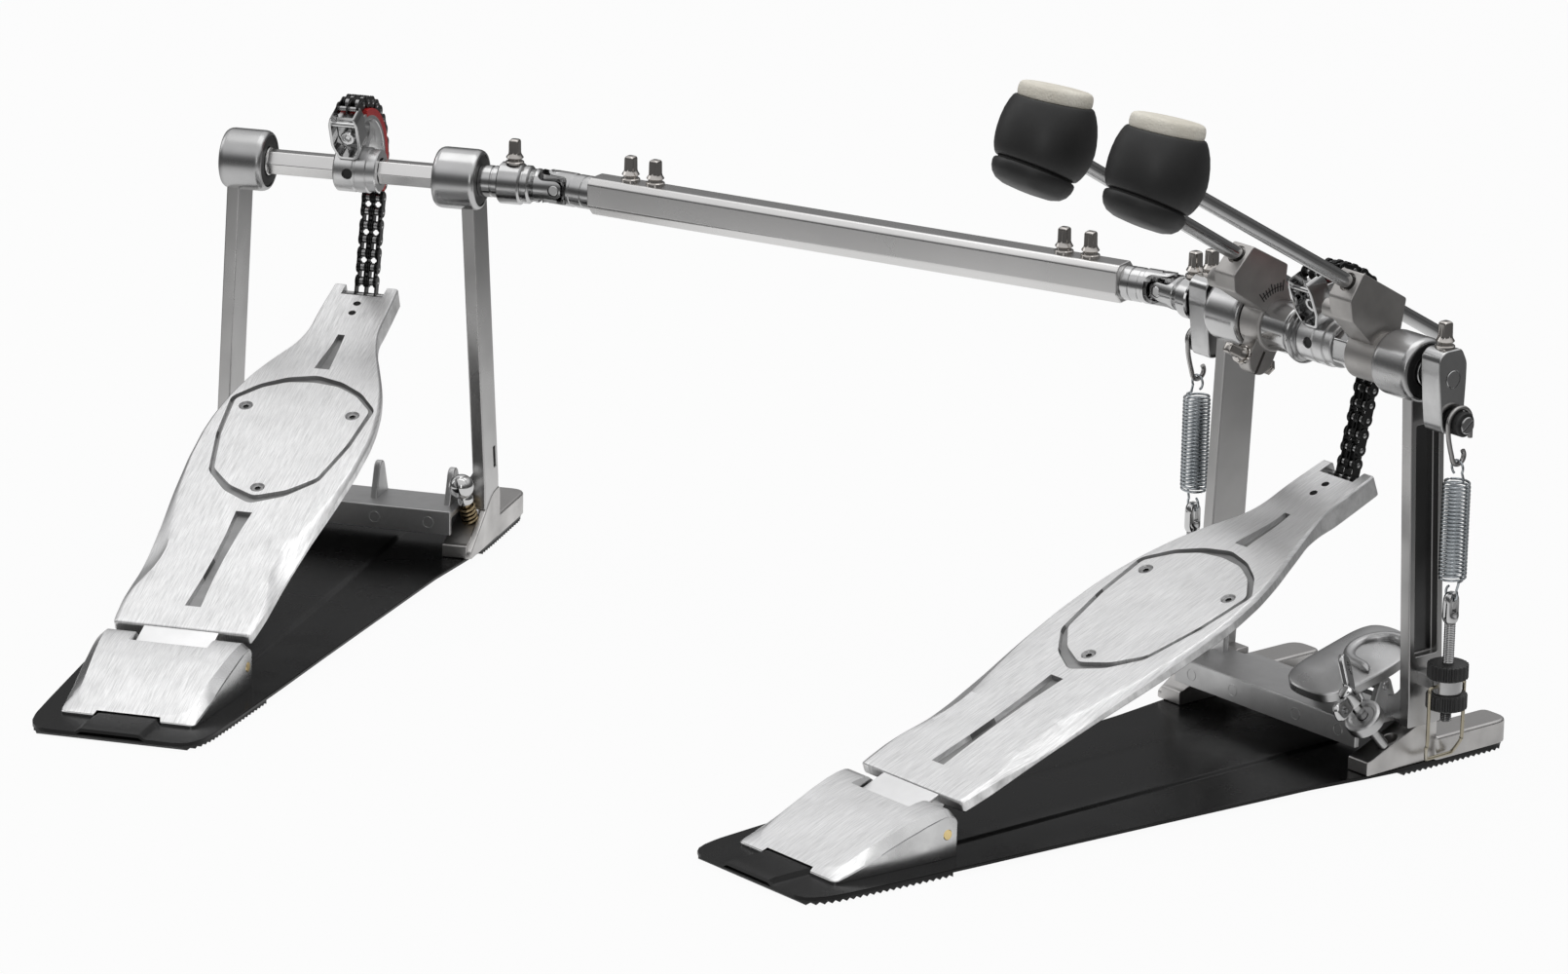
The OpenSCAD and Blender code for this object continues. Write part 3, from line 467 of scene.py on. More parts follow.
def brush_lines(g, i):
    """Noise stretched along Y for the lines of a brush, with soft patches over it for the colour."""
    scale = add(g, "CombineXYZ", {"X": i["Fine"], "Y": i["Coarse"], "Z": i["Coarse"]}).outputs[0]
    stretched = add(g, "VectorMath", {0: i["Vector"], 1: scale}, operation="MULTIPLY").outputs[0]
    lines = noise(g, stretched, 1.0, 4.0, 0.7)
    patch = noise(g, i["Vector"], 40.0, 3.0, 0.55)
    mixed = math_node(g, "MULTIPLY_ADD", patch, 0.2, math_node(g, "MULTIPLY", lines, 0.8))
    return lines, spread(g, mixed, 0.0, 1.0, 0.33, 0.67), lines


def cast_grain(g, i):
    """A fine grain for the bump, and soft blotches for colour and roughness."""
    blotch = noise(g, i["Vector"], i["Coarse"], 5.0)
    return noise(g, i["Vector"], i["Fine"], 4.0), spread(g, blotch, 0.0, 1.0), blotch


def grey(v, warm=0.0):
    return (v * (1 + warm), v, v * (1 - warm))


def colour_of(v):
    return (*(v if isinstance(v, tuple) else grey(v)), 1)


def finish(name, slot, dark, light, smooth, rough, metal, bump, kind="cast", turn=0.0, fine=1500.0,
           coarse=45.0,
           depth=BUMP_DEPTH, specular=0.5):
    """A material: one of the two groups drives colour, roughness and bump of a Principled BSDF. `turn`
    turns the pattern about Z, and `slot` is the library's name for this kind of material."""
    m = bpy.data.materials.new(name)
    m.use_nodes = True
    nt = m.node_tree
    vector = add(nt, "Mapping",
                 {"Vector": add(nt, "TexCoord").outputs["Object"], "Rotation": (0, 0, -turn)})
    g = add(nt, "Group", {
        "Vector": vector.outputs["Vector"], "Fine": fine, "Coarse": coarse, "Dark": colour_of(dark),
        "Light": colour_of(light), "Smooth": smooth, "Rough": rough}, node_tree=GROUPS[kind]).outputs
    relief = add(nt, "Bump", {"Strength": bump, "Distance": depth, "Height": g["Height"]}).outputs["Normal"]
    look = {"Base Color": g["Color"], "Roughness": g["Roughness"], "Normal": relief, "Metallic": metal,
            "Specular IOR Level": specular}
    for key, value in look.items():
        feed(nt, value, nt.nodes["Principled BSDF"].inputs[key])
    MADE[name], SLOTS[name] = m, slot


SATIN = {"fine": 2400.0}
SHEET = {"fine": 2400.0, "coarse": 9.0}
FINISHES = {
    "brushed_aluminium": (
        ("tongue satin", 0.74, 0.84, 0.34, 0.46, 1.0, 0.04, SATIN),
        ("machined", 0.46, 0.64, 0.2, 0.32, 1.0, 0.05, SATIN),
        # painted shade: a darker aluminium for the deep faces of the board's slots, holes and groove
        ("painted groove shade", 0.2, 0.3, 0.4, 0.5, 1.0, 0.1, {}),
    ),
    "cast_aluminium": (
        ("cast aluminium", 0.38, 0.54, 0.26, 0.4, 1.0, 0.12, {}),
        ("cam satin", 0.56, 0.7, 0.24, 0.36, 1.0, 0.05, SATIN),
        ("hub casting", grey(0.34, 0.03), grey(0.48, 0.03), 0.4, 0.52, 1.0, 0.1, {}),
        ("post satin", grey(0.38, 0.01), grey(0.5, 0.01), 0.24, 0.36, 1.0, 0.05,
         {"fine": 2000.0, "coarse": 16.0}),
        ("barrel satin", 0.42, 0.54, 0.2, 0.3, 1.0, 0.05, {"fine": 2000.0, "coarse": 20.0}),
        ("clamp casting", 0.4, 0.54, 0.26, 0.38, 1.0, 0.08, {}),
        ("foot casting", grey(0.42, 0.02), grey(0.56, 0.02), 0.3, 0.42, 1.0, 0.1, {}),
        ("crossbar casting", 0.44, 0.58, 0.34, 0.46, 1.0, 0.06, {}),
        # painted shade and painted dark reflection: near black aluminium for the pocket floor in the posts
        ("pocket painted shade", 0.05, 0.12, 0.12, 0.24, 1.0, 0.03, {"coarse": 14.0}),
    ),
    "chrome": (
        ("chrome", 0.5, 0.6, 0.05, 0.12, 1.0, 0.02, {}),
        ("key nickel", grey(0.4, 0.05), grey(0.52, 0.05), 0.05, 0.12, 1.0, 0.02, {}),
        ("satin tube", grey(0.6, 0.01), grey(0.68, 0.01), 0.24, 0.3, 1.0, 0.02, SHEET),
        ("bright bar", grey(0.66, 0.01), grey(0.76, 0.01), 0.2, 0.28, 1.0, 0.02, SHEET),
        ("bright steel", 0.36, 0.5, 0.1, 0.22, 1.0, 0.05, {}),
        ("satin steel", 0.42, 0.56, 0.14, 0.24, 1.0, 0.04, {"fine": 2000.0}),
    ),
    "steel": (
        ("dark screw", 0.2, 0.32, 0.2, 0.32, 1.0, 0.05, {}),
        ("rod steel", 0.46, 0.56, 0.14, 0.24, 1.0, 0.04, {"fine": 2000.0}),
        ("hook wire", grey(0.36, 0.02), grey(0.46, 0.02), 0.22, 0.36, 1.0, 0.06, {}),
        ("bail wire", (0.34, 0.31, 0.24), (0.44, 0.4, 0.31), 0.24, 0.38, 1.0, 0.06, {}),
        ("seal black", 0.006, 0.015, 0.35, 0.5, 0.0, 0.05, {}),
    ),
    "spring_steel": (("spring wire", (0.4, 0.43, 0.45), (0.54, 0.57, 0.59), 0.14, 0.26, 1.0, 0.05, {}),),
    "black_steel": (("black steel", 0.002, 0.005, 0.2, 0.3, 0.0, 0.03, {"specular": 0.22}),),
    "black_chain": (
        ("chain black", 0.02, 0.06, 0.18, 0.36, 0.9, 0.1, {}),
        ("chain roller", 0.3, 0.5, 0.15, 0.3, 1.0, 0.05, {}),
        ("chain pin", 0.3, 0.5, 0.18, 0.3, 1.0, 0.05, {}),
    ),
    "black_rubber": (
        ("black rubber", 0.008, 0.022, 0.6, 0.8, 0.0, 0.3, {}),
        ("beater rubber", 0.014, 0.024, 0.42, 0.55, 0.0, 0.08, {}),
    ),
    "black_plastic": (("black plastic", 0.012, 0.028, 0.38, 0.55, 0.0, 0.12, {}),),
    "white_felt": (
        ("felt", (0.7, 0.66, 0.57), (0.88, 0.85, 0.76), 0.85, 0.95, 0.0, 0.9,
         {"fine": 900.0, "depth": 0.0006}),
    ),
    "red_liner": (("red liner", (0.4, 0.015, 0.015), (0.55, 0.03, 0.03), 0.3, 0.45, 0.0, 0.06, {}),),
    "brass": (
        ("brass", (0.6, 0.45, 0.2), (0.78, 0.62, 0.32), 0.2, 0.35, 1.0, 0.05, {}),
        ("brass steel", (0.26, 0.2, 0.12), (0.38, 0.3, 0.18), 0.2, 0.32, 1.0, 0.05, {}),
    ),
}


def make_finishes():
    """Makes both groups and every finish, the brushed one once for each pedal's direction."""
    GROUPS["brushed"] = surface_group("Brushed lines", brush_lines)
    GROUPS["cast"] = surface_group("Cast grain", cast_grain)
    for tag, turn in (("", 0.0), (" slave", SLAVE_TURN)):
        finish("brushed aluminium" + tag, "brushed_aluminium", 0.54, 0.84, 0.3, 0.5, 1.0, 0.45, "brushed",
               turn, fine=1900.0, coarse=80.0)
    for slot, rows in FINISHES.items():
        for name, *values, more in rows:
            finish(name, slot, *values, **more)


# Footboards


def table(rows, s):
    """A table of (s, value) read at s, with its corners softened by averaging over 8 mm."""
    rows = np.asarray(rows, float)
    k = np.linspace(-4, 4, 9)
    return np.mean([np.interp(s + d, rows[:, 0], rows[:, 1]) for d in k], 0)


BOARD_LEN = 321.7
BOARD_HALF = [(0, 38.6), (4, 39.4), (20, 40.6), (45, 41), (60, 41.6), (90, 43.4), (120, 46.3), (150, 48.4),
              (175, 48.8), (190, 47.8), (208, 45), (220, 41.8), (230, 38.6), (240, 34.6), (252, 29.6),
              (262, 25.2), (272, 21.9), (280, 20.2), (300, 19.8), (321.7, 19)]
BOARD_TOP = [(0, 36.4), (20, 37.6), (30, 37.4), (42, 34.2), (56, 32.0), (66, 31.8), (78, 33.4), (96, 37.6),
             (120, 42.6), (150, 46), (175, 46.6), (190, 45.6), (208, 42.8), (220, 39.7), (230, 36.6),
             (240, 32.6), (252, 27.7), (262, 23.6), (272, 20.6), (280, 19.2), (300, 18.9), (321.7, 18.2)]
BOARD_DROP = [(0, 1.0), (20, 1.3), (34, 2.6), (50, 4.6), (66, 4.8), (84, 4.0), (110, 2.8), (150, 2.2),
              (200, 2.0), (240, 1.8), (270, 1.2), (321.7, 0.9)]
BOARD_DEEP = [(0, 7), (236, 7), (262, 8.6), (285, 12.4), (321.7, 12.5)]
SHIELD = [(0, 226.5), (15, 224.6), (27.6, 217.8), (39.6, 205), (36.8, 172), (30, 140.6), (16.3, 127.2),
          (0, 119.8)]
RECESS = [(0, 232.2), (15.8, 228), (29.6, 219.6), (41.5, 206), (38.5, 172), (31.5, 138.4), (17.3, 122.6),
          (0, 113.4)]
SCREWS = np.array([(31.4, 199.4), (-31.4, 199.4), (0, 127.4)])
TONGUE = 21.3


def both_sides(half):
    """Closes a half outline, given from the top point round to the bottom one, with its mirror image."""
    h = np.asarray(half, float)
    return ccw(np.vstack([h, h[-2:0:-1] * [-1, 1]]))


def board_face(s):
    """The height of the board's top at s: level, with a soft dip where the neck begins."""
    return -1.7 * np.exp(-(((s - 266) / 17) ** 2))


def board_shape():
    """The footboard as S(s, u): across the board the section runs flat to the inner top edge, down a hollow
    side bevel to the side wall, and back underneath. s is taken closer together at both ends, where an edge
    radius e(s) = r - sqrt(r^2 - (r - s)^2) draws the section in."""
    r = 1.6
    end = r * (1 - np.cos(np.linspace(0, math.pi / 2, 6)[:-1]))
    s = np.concatenate([end, np.linspace(r, BOARD_LEN - r, 200), BOARD_LEN - end[::-1]])
    near = np.minimum(s, BOARD_LEN - s)
    e = np.where(near < r, r - np.sqrt(np.maximum(r * r - (r - near) ** 2, 0)), 0)
    w, wi = table(BOARD_HALF, s) - e, table(BOARD_TOP, s) - e
    drop, deep = table(BOARD_DROP, s), table(BOARD_DEEP, s)
    dip = board_face(s) - e
    t = np.linspace(0, 1, 7)[None]
    hollow = np.exp(-(((s - 62) / 26) ** 2))[:, None]
    bevel_x = wi[:, None] + (w - wi)[:, None] * t
    bevel_n = dip[:, None] - drop[:, None] * (t ** (1.5 - 0.75 * hollow))
    flat = wi[:, None] * np.linspace(0, 1, 7)[None, 1:-1]
    x = np.hstack([flat, bevel_x, w[:, None] * [1, 1, 0.5] - [0, 0.8, 0]])
    n = np.hstack([np.repeat(dip[:, None], 5, 1), bevel_n, (e - deep)[:, None] + [0.8, 0, 0]])
    right = np.stack([x, np.repeat(s[:, None], x.shape[1], 1), n], -1)
    mid_top = np.stack([0 * s, s, dip], -1)[:, None]
    mid_low = np.stack([0 * s, s, -deep + e], -1)[:, None]
    ring = np.concatenate([mid_top, right, mid_low, right[:, ::-1] * [-1, 1, 1]], 1)
    return skin(ring)


def taper(outline, z0, z1, grow):
    """A cutter whose outline grows by `grow` from its bottom at z0 to z1."""
    p = ccw(outline)
    return skin(np.stack([np.c_[p, np.full(len(p), z0)], np.c_[offset(p, grow), np.full(len(p), z1)]]))


def board_cutter():
    upper = [(-3.6, 240.5), (3.6, 240.5), (1.5, 274), (-1.5, 274)]
    lower = [(-3.7, 20), (3.7, 20), (2.4, 45), (2.2, 62), (2.6, 84), (3.9, 104), (-3.9, 104), (-2.6, 84),
             (-2.2, 62), (-2.4, 45)]
    cut = taper(upper, -4.2, 1.2, 1.1) + taper(lower, -2.6, 1.2, 1.1)
    cut += taper(fillet(both_sides(RECESS), 3.0, 5), -2.2, 0.8, 1.2)
    for s in (294.5, 303.5):
        cut += slab(pill(0, s, 2.2), -20, 4, 0.01, 1)
    cut += slab([(-12.4, 311.5), (12.4, 311.5), (12.4, 330), (-12.4, 330)], -20, 5, 0.01, 1)
    cut += slab([(-12.4, 286), (12.4, 286), (12.4, 311.6), (-12.4, 311.6)], -20, -6.5, 0.01, 1)
    for side in (-1, 1):
        cut += block((side * 29 - 9, 14, -9), (side * 29 + 9, 190, -5.2), 2)
    return cut.put(on_board)


def shield_shape():
    """The plate let into the recess: its rim is broken by a small flat."""
    return slab(fillet(both_sides(SHIELD), 3.0, 5), -3.0, 0.0, 0.35, 2)


def socket_shape(profile, socket, n):
    """A screw's head about Z with a hexagon socket: rings (radius, z, k), a k of 1 marking the socket's own
    rings, which follow a hexagon of the inner radius `socket`."""
    r, z, k = np.array(profile, float).T
    a = around(n)
    return spun(np.where(k[:, None] > 0, r[:, None] * socket * hex_radius(a), r[:, None]), z, a)


def screw_shape():
    """A countersunk screw with a hexagon socket."""
    head = [(3.4, -2.6, 0), (3.4, -1.0, 0), (3.1, -0.7, 0), (2.4, -0.65, 0), (1, -0.75, 1), (1, -1.9, 1)]
    return socket_shape(head, 1.55, 36)


def tongue_shape():
    """The hinge tongue between heel plate and board: a barrel round the pin, and a plate with its root."""
    barrel = turned([(-TONGUE, 3.1), (-TONGUE, 6.7), (-TONGUE + 0.5, 7.2), (TONGUE - 0.5, 7.2),
                     (TONGUE, 6.7), (TONGUE, 3.1)], 40, loop=True)
    plate = slab([(-TONGUE, -17.0), (TONGUE, -17.0), (TONGUE, 9), (-TONGUE, 9)], -2.6, -0.9, 0.5, 2)
    root = slab_x([(-15, -9), (-12, -14.5), (6, -6.9), (6, -2.2), (-15, -2.2)], -TONGUE + 0.1, TONGUE - 0.1,
                  0.5, 2)
    return barrel.put(shift(0, *HEEL_PIN)), (plate + root).put(on_board)


SINKS = np.array([(19, 0), (19.1, 4.9), (105, 4.9), (105.1, 0), (112.2, 0), (122, 18.6), (138, 32.8),
                  (172, 39.6), (206, 42.6), (220.6, 30.6), (229, 16.8), (233.2, 0), (239.4, 0),
                  (239.5, 4.8), (276, 3.2), (276.1, 0), (291, 0), (291.1, 2.6), (307, 2.6), (307.1, 0)])


def paint_sink_shade(obj, place, name, depth):
    """Paints shade into the slots, the holes and the groove: the faces deeper than `depth` there get a darker
    second material as painted shade, where these hollows fall into shadow. A face's place on the board is
    worked back from four marks on it, and SINKS gives the half width of the hollows along the board."""
    marks = place(on_board([(0, 0, 0), (0, 0, 1), (0, 1, 0), (1, 0, 0)])) * MM
    obj.data.materials.append(MADE[name])
    centres = np.zeros(len(obj.data.polygons) * 3)
    obj.data.polygons.foreach_get("center", centres)
    p = centres.reshape(-1, 3) - marks[0]
    high, s, x = (p @ (m - marks[0]) / MM**2 for m in marks[1:])
    inside = (high < board_face(s) - depth) & (high > -6.4) & (abs(x) < np.interp(s, *SINKS.T))
    obj.data.polygons.foreach_set("material_index", inside.astype(int))


def make_footboards():
    for tag, place, suffix in SIDES:
        body = tag + "_board"
        board = piece(tag + "_board_plate", board_shape().put(on_board, place),
                      "brushed aluminium" + suffix, body, [tag + "_footboard", tag + "_screws"],
                      cut=board_cutter().put(place), edges=0.3, sharp=30)
        # painted shade in the slots, holes and groove: their deep faces get the darker material
        paint_sink_shade(board, place, "painted groove shade", 0.35)
        seats = joined([taper(pill(*p, 2.2), -4, -1.2, 0) + taper(pill(*p, 3.4), -1.3, 0.4, 0.9)
                        for p in SCREWS])
        piece(tag + "_board_shield", shield_shape().put(on_board, place), "brushed aluminium" + suffix,
              body, cut=seats.put(on_board, place))
        screws = joined([screw_shape().put(shift(*p, 0)) for p in SCREWS])
        piece(tag + "_board_screws", screws.put(on_board, place), "dark screw", body)
        # painted shade: a black hexagon disc at the bottom of each screw's socket, where the socket falls
        # into shadow
        socket_shade = joined([slab(pill(0, 0, 1.5, 6), -1.8, -1.5, 0.02, 1).put(shift(*p, 0)) for p in SCREWS])
        piece(tag + "_socket_shade_discs", socket_shade.put(on_board, place), "seal black", body)
        barrel, plate = tongue_shape()
        piece(tag + "_board_tongue", (barrel + plate).put(place), "tongue satin", body)


# Heel plates


def rounded(corners, radii, arc=5, side=8):
    """A closed outline: each corner as a curve of `arc` points, each straight side divided into `side`
    steps."""
    p = fillet(corners, radii, arc).reshape(-1, arc, 2)
    t = np.linspace(0, 1, side, endpoint=False)[1:, None]
    ends, starts = p[:, -1:], np.roll(p, -1, 0)[:, :1]
    return np.concatenate([p, ends + (starts - ends) * t], 1).reshape(-1, 2)


HEEL_TOP = [(-361, 6.9), (-358, 8.0), (-352, 10.2), (-340, 15.2), (-328, 20.0), (-316, 24.2), (-304, 27.6),
            (-296, 29.2), (-291, 29.6), (-288, 29.0), (-285.6, 27.2), (-283.8, 24.0)]
HEEL_DROP = [(-361, 1.4), (-352, 2.6), (-335, 4.6), (-310, 4.4), (-290, 3.4), (-283.8, 2.2)]


def heel_shape():
    """The heel casting: rings climb the side wall, cross the bevel to the inner outline, and close over the
    top. Height is read from the side profile h(y): wall top h - drop(y), everything inside the bevel
    h(y)."""
    right = [(42, -284), (42, -300), (37.6, -361)]
    inner = [(38.6, -284), (37.6, -300), (31.0, -356.2)]
    outer = rounded(right + [(-x, y) for x, y in right[::-1]], [0.8, 14, 3.5, 3.5, 14, 0.8], 6, 12)
    inside = rounded(inner + [(-x, y) for x, y in inner[::-1]], [0.8, 14, 11, 11, 14, 0.8], 6, 12)
    h = lambda y: np.interp(y, *np.array(HEEL_TOP).T)
    drop = lambda y: np.interp(y, *np.array(HEEL_DROP).T)
    at = lambda o, z: np.c_[o, z]
    wall = np.maximum(h(outer[:, 1]) - drop(outer[:, 1]), 6.0)
    rings = [at(outer, np.full(len(outer), 4.5)), at(outer, wall - 0.4),
             at(offset(outer[::-1], -0.25)[::-1], wall - 0.1)]
    for t in (0.08, 0.5, 0.94):
        o = outer + (inside - outer) * t
        rings.append(at(o, wall + (h(inside[:, 1]) - wall) * t))
    for t in (1.0, 0.94, 0.5, 0.0):
        o = inside * [t, 1]
        rings.append(at(o, h(o[:, 1])))
    shape = skin(np.stack(rings), caps=False)
    return Shape(shape.v, shape.f + [list(range(len(outer)))[::-1]])


def heel_cutter():
    tongue = block((-22.4, -300, 3), (22.4, -270, 60), 0.6)
    lip = slab_y([(-20.5, 3), (20.5, 3), (17.8, 7.6), (-17.8, 7.6)], -370, -350, 0.01, 1)
    return tongue + lip


def lower_finish(obj, name, steep):
    """Gives the faces steeper than `steep` (height of the unit normal) a second finish."""
    obj.data.materials.append(MADE[name])
    normals = np.zeros(len(obj.data.polygons) * 3)
    obj.data.polygons.foreach_get("normal", normals)
    obj.data.polygons.foreach_set("material_index", (normals.reshape(-1, 3)[:, 2] < steep).astype(int))


def make_heels():
    for tag, place, suffix in SIDES:
        o = piece(tag + "_heel_casting", heel_shape().put(place), "brushed aluminium" + suffix,
                  tag + "_base", tag + "_heel_plate", cut=heel_cutter().put(place), edges=0.35, sharp=28)
        lower_finish(o, "machined", 0.84)


# Base plates and rubber pads


PLATE_HALF = [(-386, 36.0), (-385.4, 39.0), (-383.6, 42.2), (-380, 45.4), (-374, 48.0), (-364, 50.2),
              (-340, 52.4), (-320, 54), (-280, 57.2), (-220, 61.4), (-160, 66), (-70, 73), (-34, 78),
              (-10, 80.6), (10, 81), (58, 81), (63, 80), (66, 77.6), (67, 74.5)]
CHANNEL = 1.5


def plate_shape():
    """The steel plate S(y, x): flat rims, a raised middle between two long creases, and the heel hump in
    front."""
    y = np.concatenate([[-386, -385.8, -385.4, -384.6, -383.6, -382, -380, -377],
                        np.linspace(-374, 58, 110), [60, 62, 64, 65.4, 66.4, 67]])
    w = np.interp(y, *np.array(PLATE_HALF).T)
    hump = np.interp(y, [-386, -381, -356, -349], [2.2, 2.6, 2.6, 0])
    rim = np.clip((y + 345) / 12, 0, 1) * np.clip((40 - y) / 12, 0, 1) * CHANNEL
    out = 31 + (w[:, None] - 31) * np.array([1, 0.992, 0.96, 0.5, 0])
    fixed = np.array([29.8, 28.6, 27.4, 20.4, 19, 17.6, 16.2, 14.8, 7])
    half = np.hstack([out, np.repeat(fixed[None], len(y), 0)])
    x = np.hstack([-half, np.zeros((len(y), 1)), half[:, ::-1]])
    side = ease(np.clip((31 - np.abs(x)) / 3.6, 0, 1)) * rim[:, None]
    mid = ease(np.clip((20 - np.abs(x)) / 4.2, 0, 1)) * hump[:, None]
    edge = np.array([0.5, 0.12, 0] + [0] * 12)
    edge = np.concatenate([edge, edge[-2::-1]])
    top = 4.4 + side + mid - edge
    low = 2.6 + side + mid
    a = np.stack([x, np.repeat(y[:, None], x.shape[1], 1), top], -1)
    b = np.stack([x, np.repeat(y[:, None], x.shape[1], 1), low], -1)
    return skin(np.concatenate([a, b[:, ::-1]], 1))


def pad_shape(y0, y1, inset):
    """A ribbed pad: rows at the crests and roots of its teeth, as wide as the plate less the inset."""
    n = int((y1 - y0) / 2) | 1
    y = np.linspace(y0, y1, n + 1)
    zig = np.where(np.arange(n + 1) % 2 == 0, 1.7, 0.0)
    w = np.interp(y, *np.array(PLATE_HALF).T) - inset
    t = np.linspace(-1, 1, 5)
    low = np.stack([w[:, None] * t, np.repeat(y[:, None], 5, 1), np.repeat(zig[:, None], 5, 1)], -1)
    high = np.stack([w[:, None] * t[::-1], np.repeat(y[:, None], 5, 1), np.full((n + 1, 5), 2.6)], -1)
    return skin(np.concatenate([low, high], 1))


def make_base_plates():
    for tag, place, _ in SIDES:
        piece(tag + "_base_steel", plate_shape().put(place), "black steel", tag + "_base",
              tag + "_base_plate", sharp=24)
        pads = pad_shape(-385, -298, 0.6) + pad_shape(-10, 66.6, 0.4)
        piece(tag + "_base_rubber", pads.put(place), "black rubber", tag + "_base", tag + "_pads", sharp=20)


# Drive tube and key bolts


def key_bolt_shape():
    """A drum-key bolt standing on z = 0: washer, neck, flared collar and a square head with a domed end.
    Rings (r, z, k); k blends from a circle to the square r / max(|cos a|, |sin a|) with its corners cut at
    1.28 r."""
    prof = [(5.3, 0, 0), (5.3, 1.1, 0), (4.9, 1.5, 0), (3.9, 1.6, 0), (3.8, 2.6, 0), (4.8, 3.3, 0),
            (5.0, 3.7, 0), (4.7, 4.2, 0), (3.7, 5.4, 0.3), (3.0, 6.4, 1), (2.9, 12.6, 1), (2.7, 13.4, 0.9),
            (2.2, 13.9, 0.7), (1.2, 14.2, 0.2)]
    a = around(40)
    square = np.minimum(1 / np.maximum(abs(np.cos(a)), abs(np.sin(a))), 1.28)
    r, z, k = np.array(prof).T
    return spun(r[:, None] * (1 + k[:, None] * (square - 1)), z, a)


TUBE_LEN = 333.0
TUBE_HALF = 10.9
TUBE_0 = (SHAFT_LEN - TUBE_LEN) / 2
TUBE_1 = TUBE_0 + TUBE_LEN


def tube_shape():
    """The drive tube: its eight-sided section with softened corners, carried along and drawn in at both
    ends."""
    w = TUBE_HALF
    sec = [(-w + 3, w), (w - 6, w), (w, w - 6), (w, -w + 6), (w - 6, -w), (-w + 6, -w), (-w, -w + 6),
           (-w, w - 3)]
    return slab_x(fillet(sec, 1.0, 4), TUBE_0, TUBE_1, 0.9, 3)


def make_tube():
    body = "tube_body"
    piece("drive_tube_bar", tube_shape().put(at_shaft), "satin tube", body, "drive_tube", sharp=40)
    places = (TUBE_0 + 22, TUBE_0 + 38, TUBE_1 - 38, TUBE_1 - 22)
    bolts = joined([key_bolt_shape().put(shift(x, 0, TUBE_HALF), at_shaft) for x in places])
    piece("drive_tube_bolts", bolts, "key nickel", body, "tube_bolts")


# Beaters


BEATERS = {
    "primary": (38.0, 26.0, 29.7, 198.0, "primary_beater_body"),
    "slave": (-42.0, 22.0, 30.5, 201.6, "slave_beater_body"),
}
HEAD_TILT = 14.5


def at_head(x, far, tilt, reach):
    """From head coordinates, z towards the felt, to the row frame."""
    def move(p):
        p = turn_x(p, math.radians(tilt - HEAD_TILT)) + [0, -reach, far]
        return turn_x(p, math.radians(-tilt)) + [x, 0, AXLE]
    return move


def head_shape():
    """The rubber head: a turned profile whose lower end leans back. Ring z turns about X by 12 (1 - s(z))
    degrees, s rising smoothly from 0 at the groove to 1 at mid height."""
    prof = [(19.6, 21.0), (20.4, 20.8), (21.2, 20.0), (22.6, 17.4), (24.2, 13), (25.3, 8), (25.9, 3),
            (26, -1), (25.6, -5), (24.8, -8.6), (23.7, -11.4), (22.7, -13.2), (22.0, -14.1), (21.2, -14.5),
            (20.3, -14.6), (20.0, -15.0), (20.2, -15.5), (21.2, -15.7), (21.9, -16.4), (22.1, -17.8),
            (21.6, -20.4), (20.2, -23.2), (17.6, -25.6), (13.6, -27.0), (7, -27.6)]
    r, z = np.array(prof).T

    def lean_back(p):
        x, y, h = p.T
        lean = math.radians(12) * (1 - ease(np.clip((h + 12) / 14, 0, 1)))
        c, n = np.cos(lean), np.sin(lean)
        return np.stack([x, y * c + h * n, h * c - y * n], 1)

    return spun(r[:, None], z, around(72)).put(lean_back)


def felt_shape():
    """The felt disc: a turned profile, its radius and top waved by a small sum of sines so it looks pressed
    by hand."""
    prof = np.array([(18.9, 20.9), (19.3, 21.3), (19.6, 23.0), (19.5, 25.2), (19.1, 26.8), (18.2, 27.9),
                     (16.6, 28.5), (12, 28.7), (6, 28.75)])
    a = around(72)
    wave = 0.12 * np.sin(3 * a + 1) + 0.07 * np.sin(7 * a) + 0.04 * np.sin(13 * a + 2)
    return spun(prof[:, :1] + wave * np.clip((prof[:, 1:] - 21) / 3, 0, 1), prof[:, 1], a)


def make_beaters():
    for tag, (x, far, tilt, reach, body) in BEATERS.items():
        place = at_head(x, far, tilt, reach)
        piece(tag + "_beater_head", head_shape().put(place), "beater rubber", body, tag + "_beater",
              sharp=50)
        piece(tag + "_beater_felt", felt_shape().put(place), "felt", body, tag + "_felt", sharp=60)


# Chains


SLOPE_C, SLOPE_S = math.cos(BOARD_SLOPE), math.sin(BOARD_SLOPE)
TOE = np.array([HEEL[0] + 318.3 * SLOPE_C + 4.6 * SLOPE_S, HEEL[1] + 318.3 * SLOPE_S - 4.6 * SLOPE_C])
CHAIN_R = 38.5
TOE_FAR = math.hypot(TOE[0], AXLE - TOE[1])
LEAN = math.asin(CHAIN_R / TOE_FAR) - math.atan2(TOE[0], AXLE - TOE[1])
FREE = math.sqrt(TOE_FAR**2 - CHAIN_R**2) / 9
STEP = 2 * math.asin(4 / CHAIN_R)


def pin_at(k):
    """Chain pin k in Y and Z: on the cam's pitch circle from 0 up, on the straight run to the toe below."""
    if k >= 0:
        a = -LEAN + k * STEP
        return np.array([CHAIN_R * math.cos(a), AXLE + CHAIN_R * math.sin(a)])
    return TOE + (9 + k) * FREE * np.array([math.sin(LEAN), math.cos(LEAN)])


def plate_outline(length):
    """A chain plate: half height h(s) = max(circle at each pin, waist) along the line of the pins, mirrored
    below."""
    r, waist = 3.5, 2.35
    s = np.concatenate([-r * np.cos(np.linspace(0, 2.2, 12)), length + r * np.cos(np.linspace(2.2, 0, 12))])
    near = np.minimum(np.abs(s), np.abs(s - length))
    h = np.maximum(np.sqrt(np.maximum(r * r - near**2, 0)), np.where((s > 0) & (s < length), waist, 0))
    return np.concatenate([np.stack([s, h], 1)[:-1], np.stack([s, -h], 1)[:0:-1]])


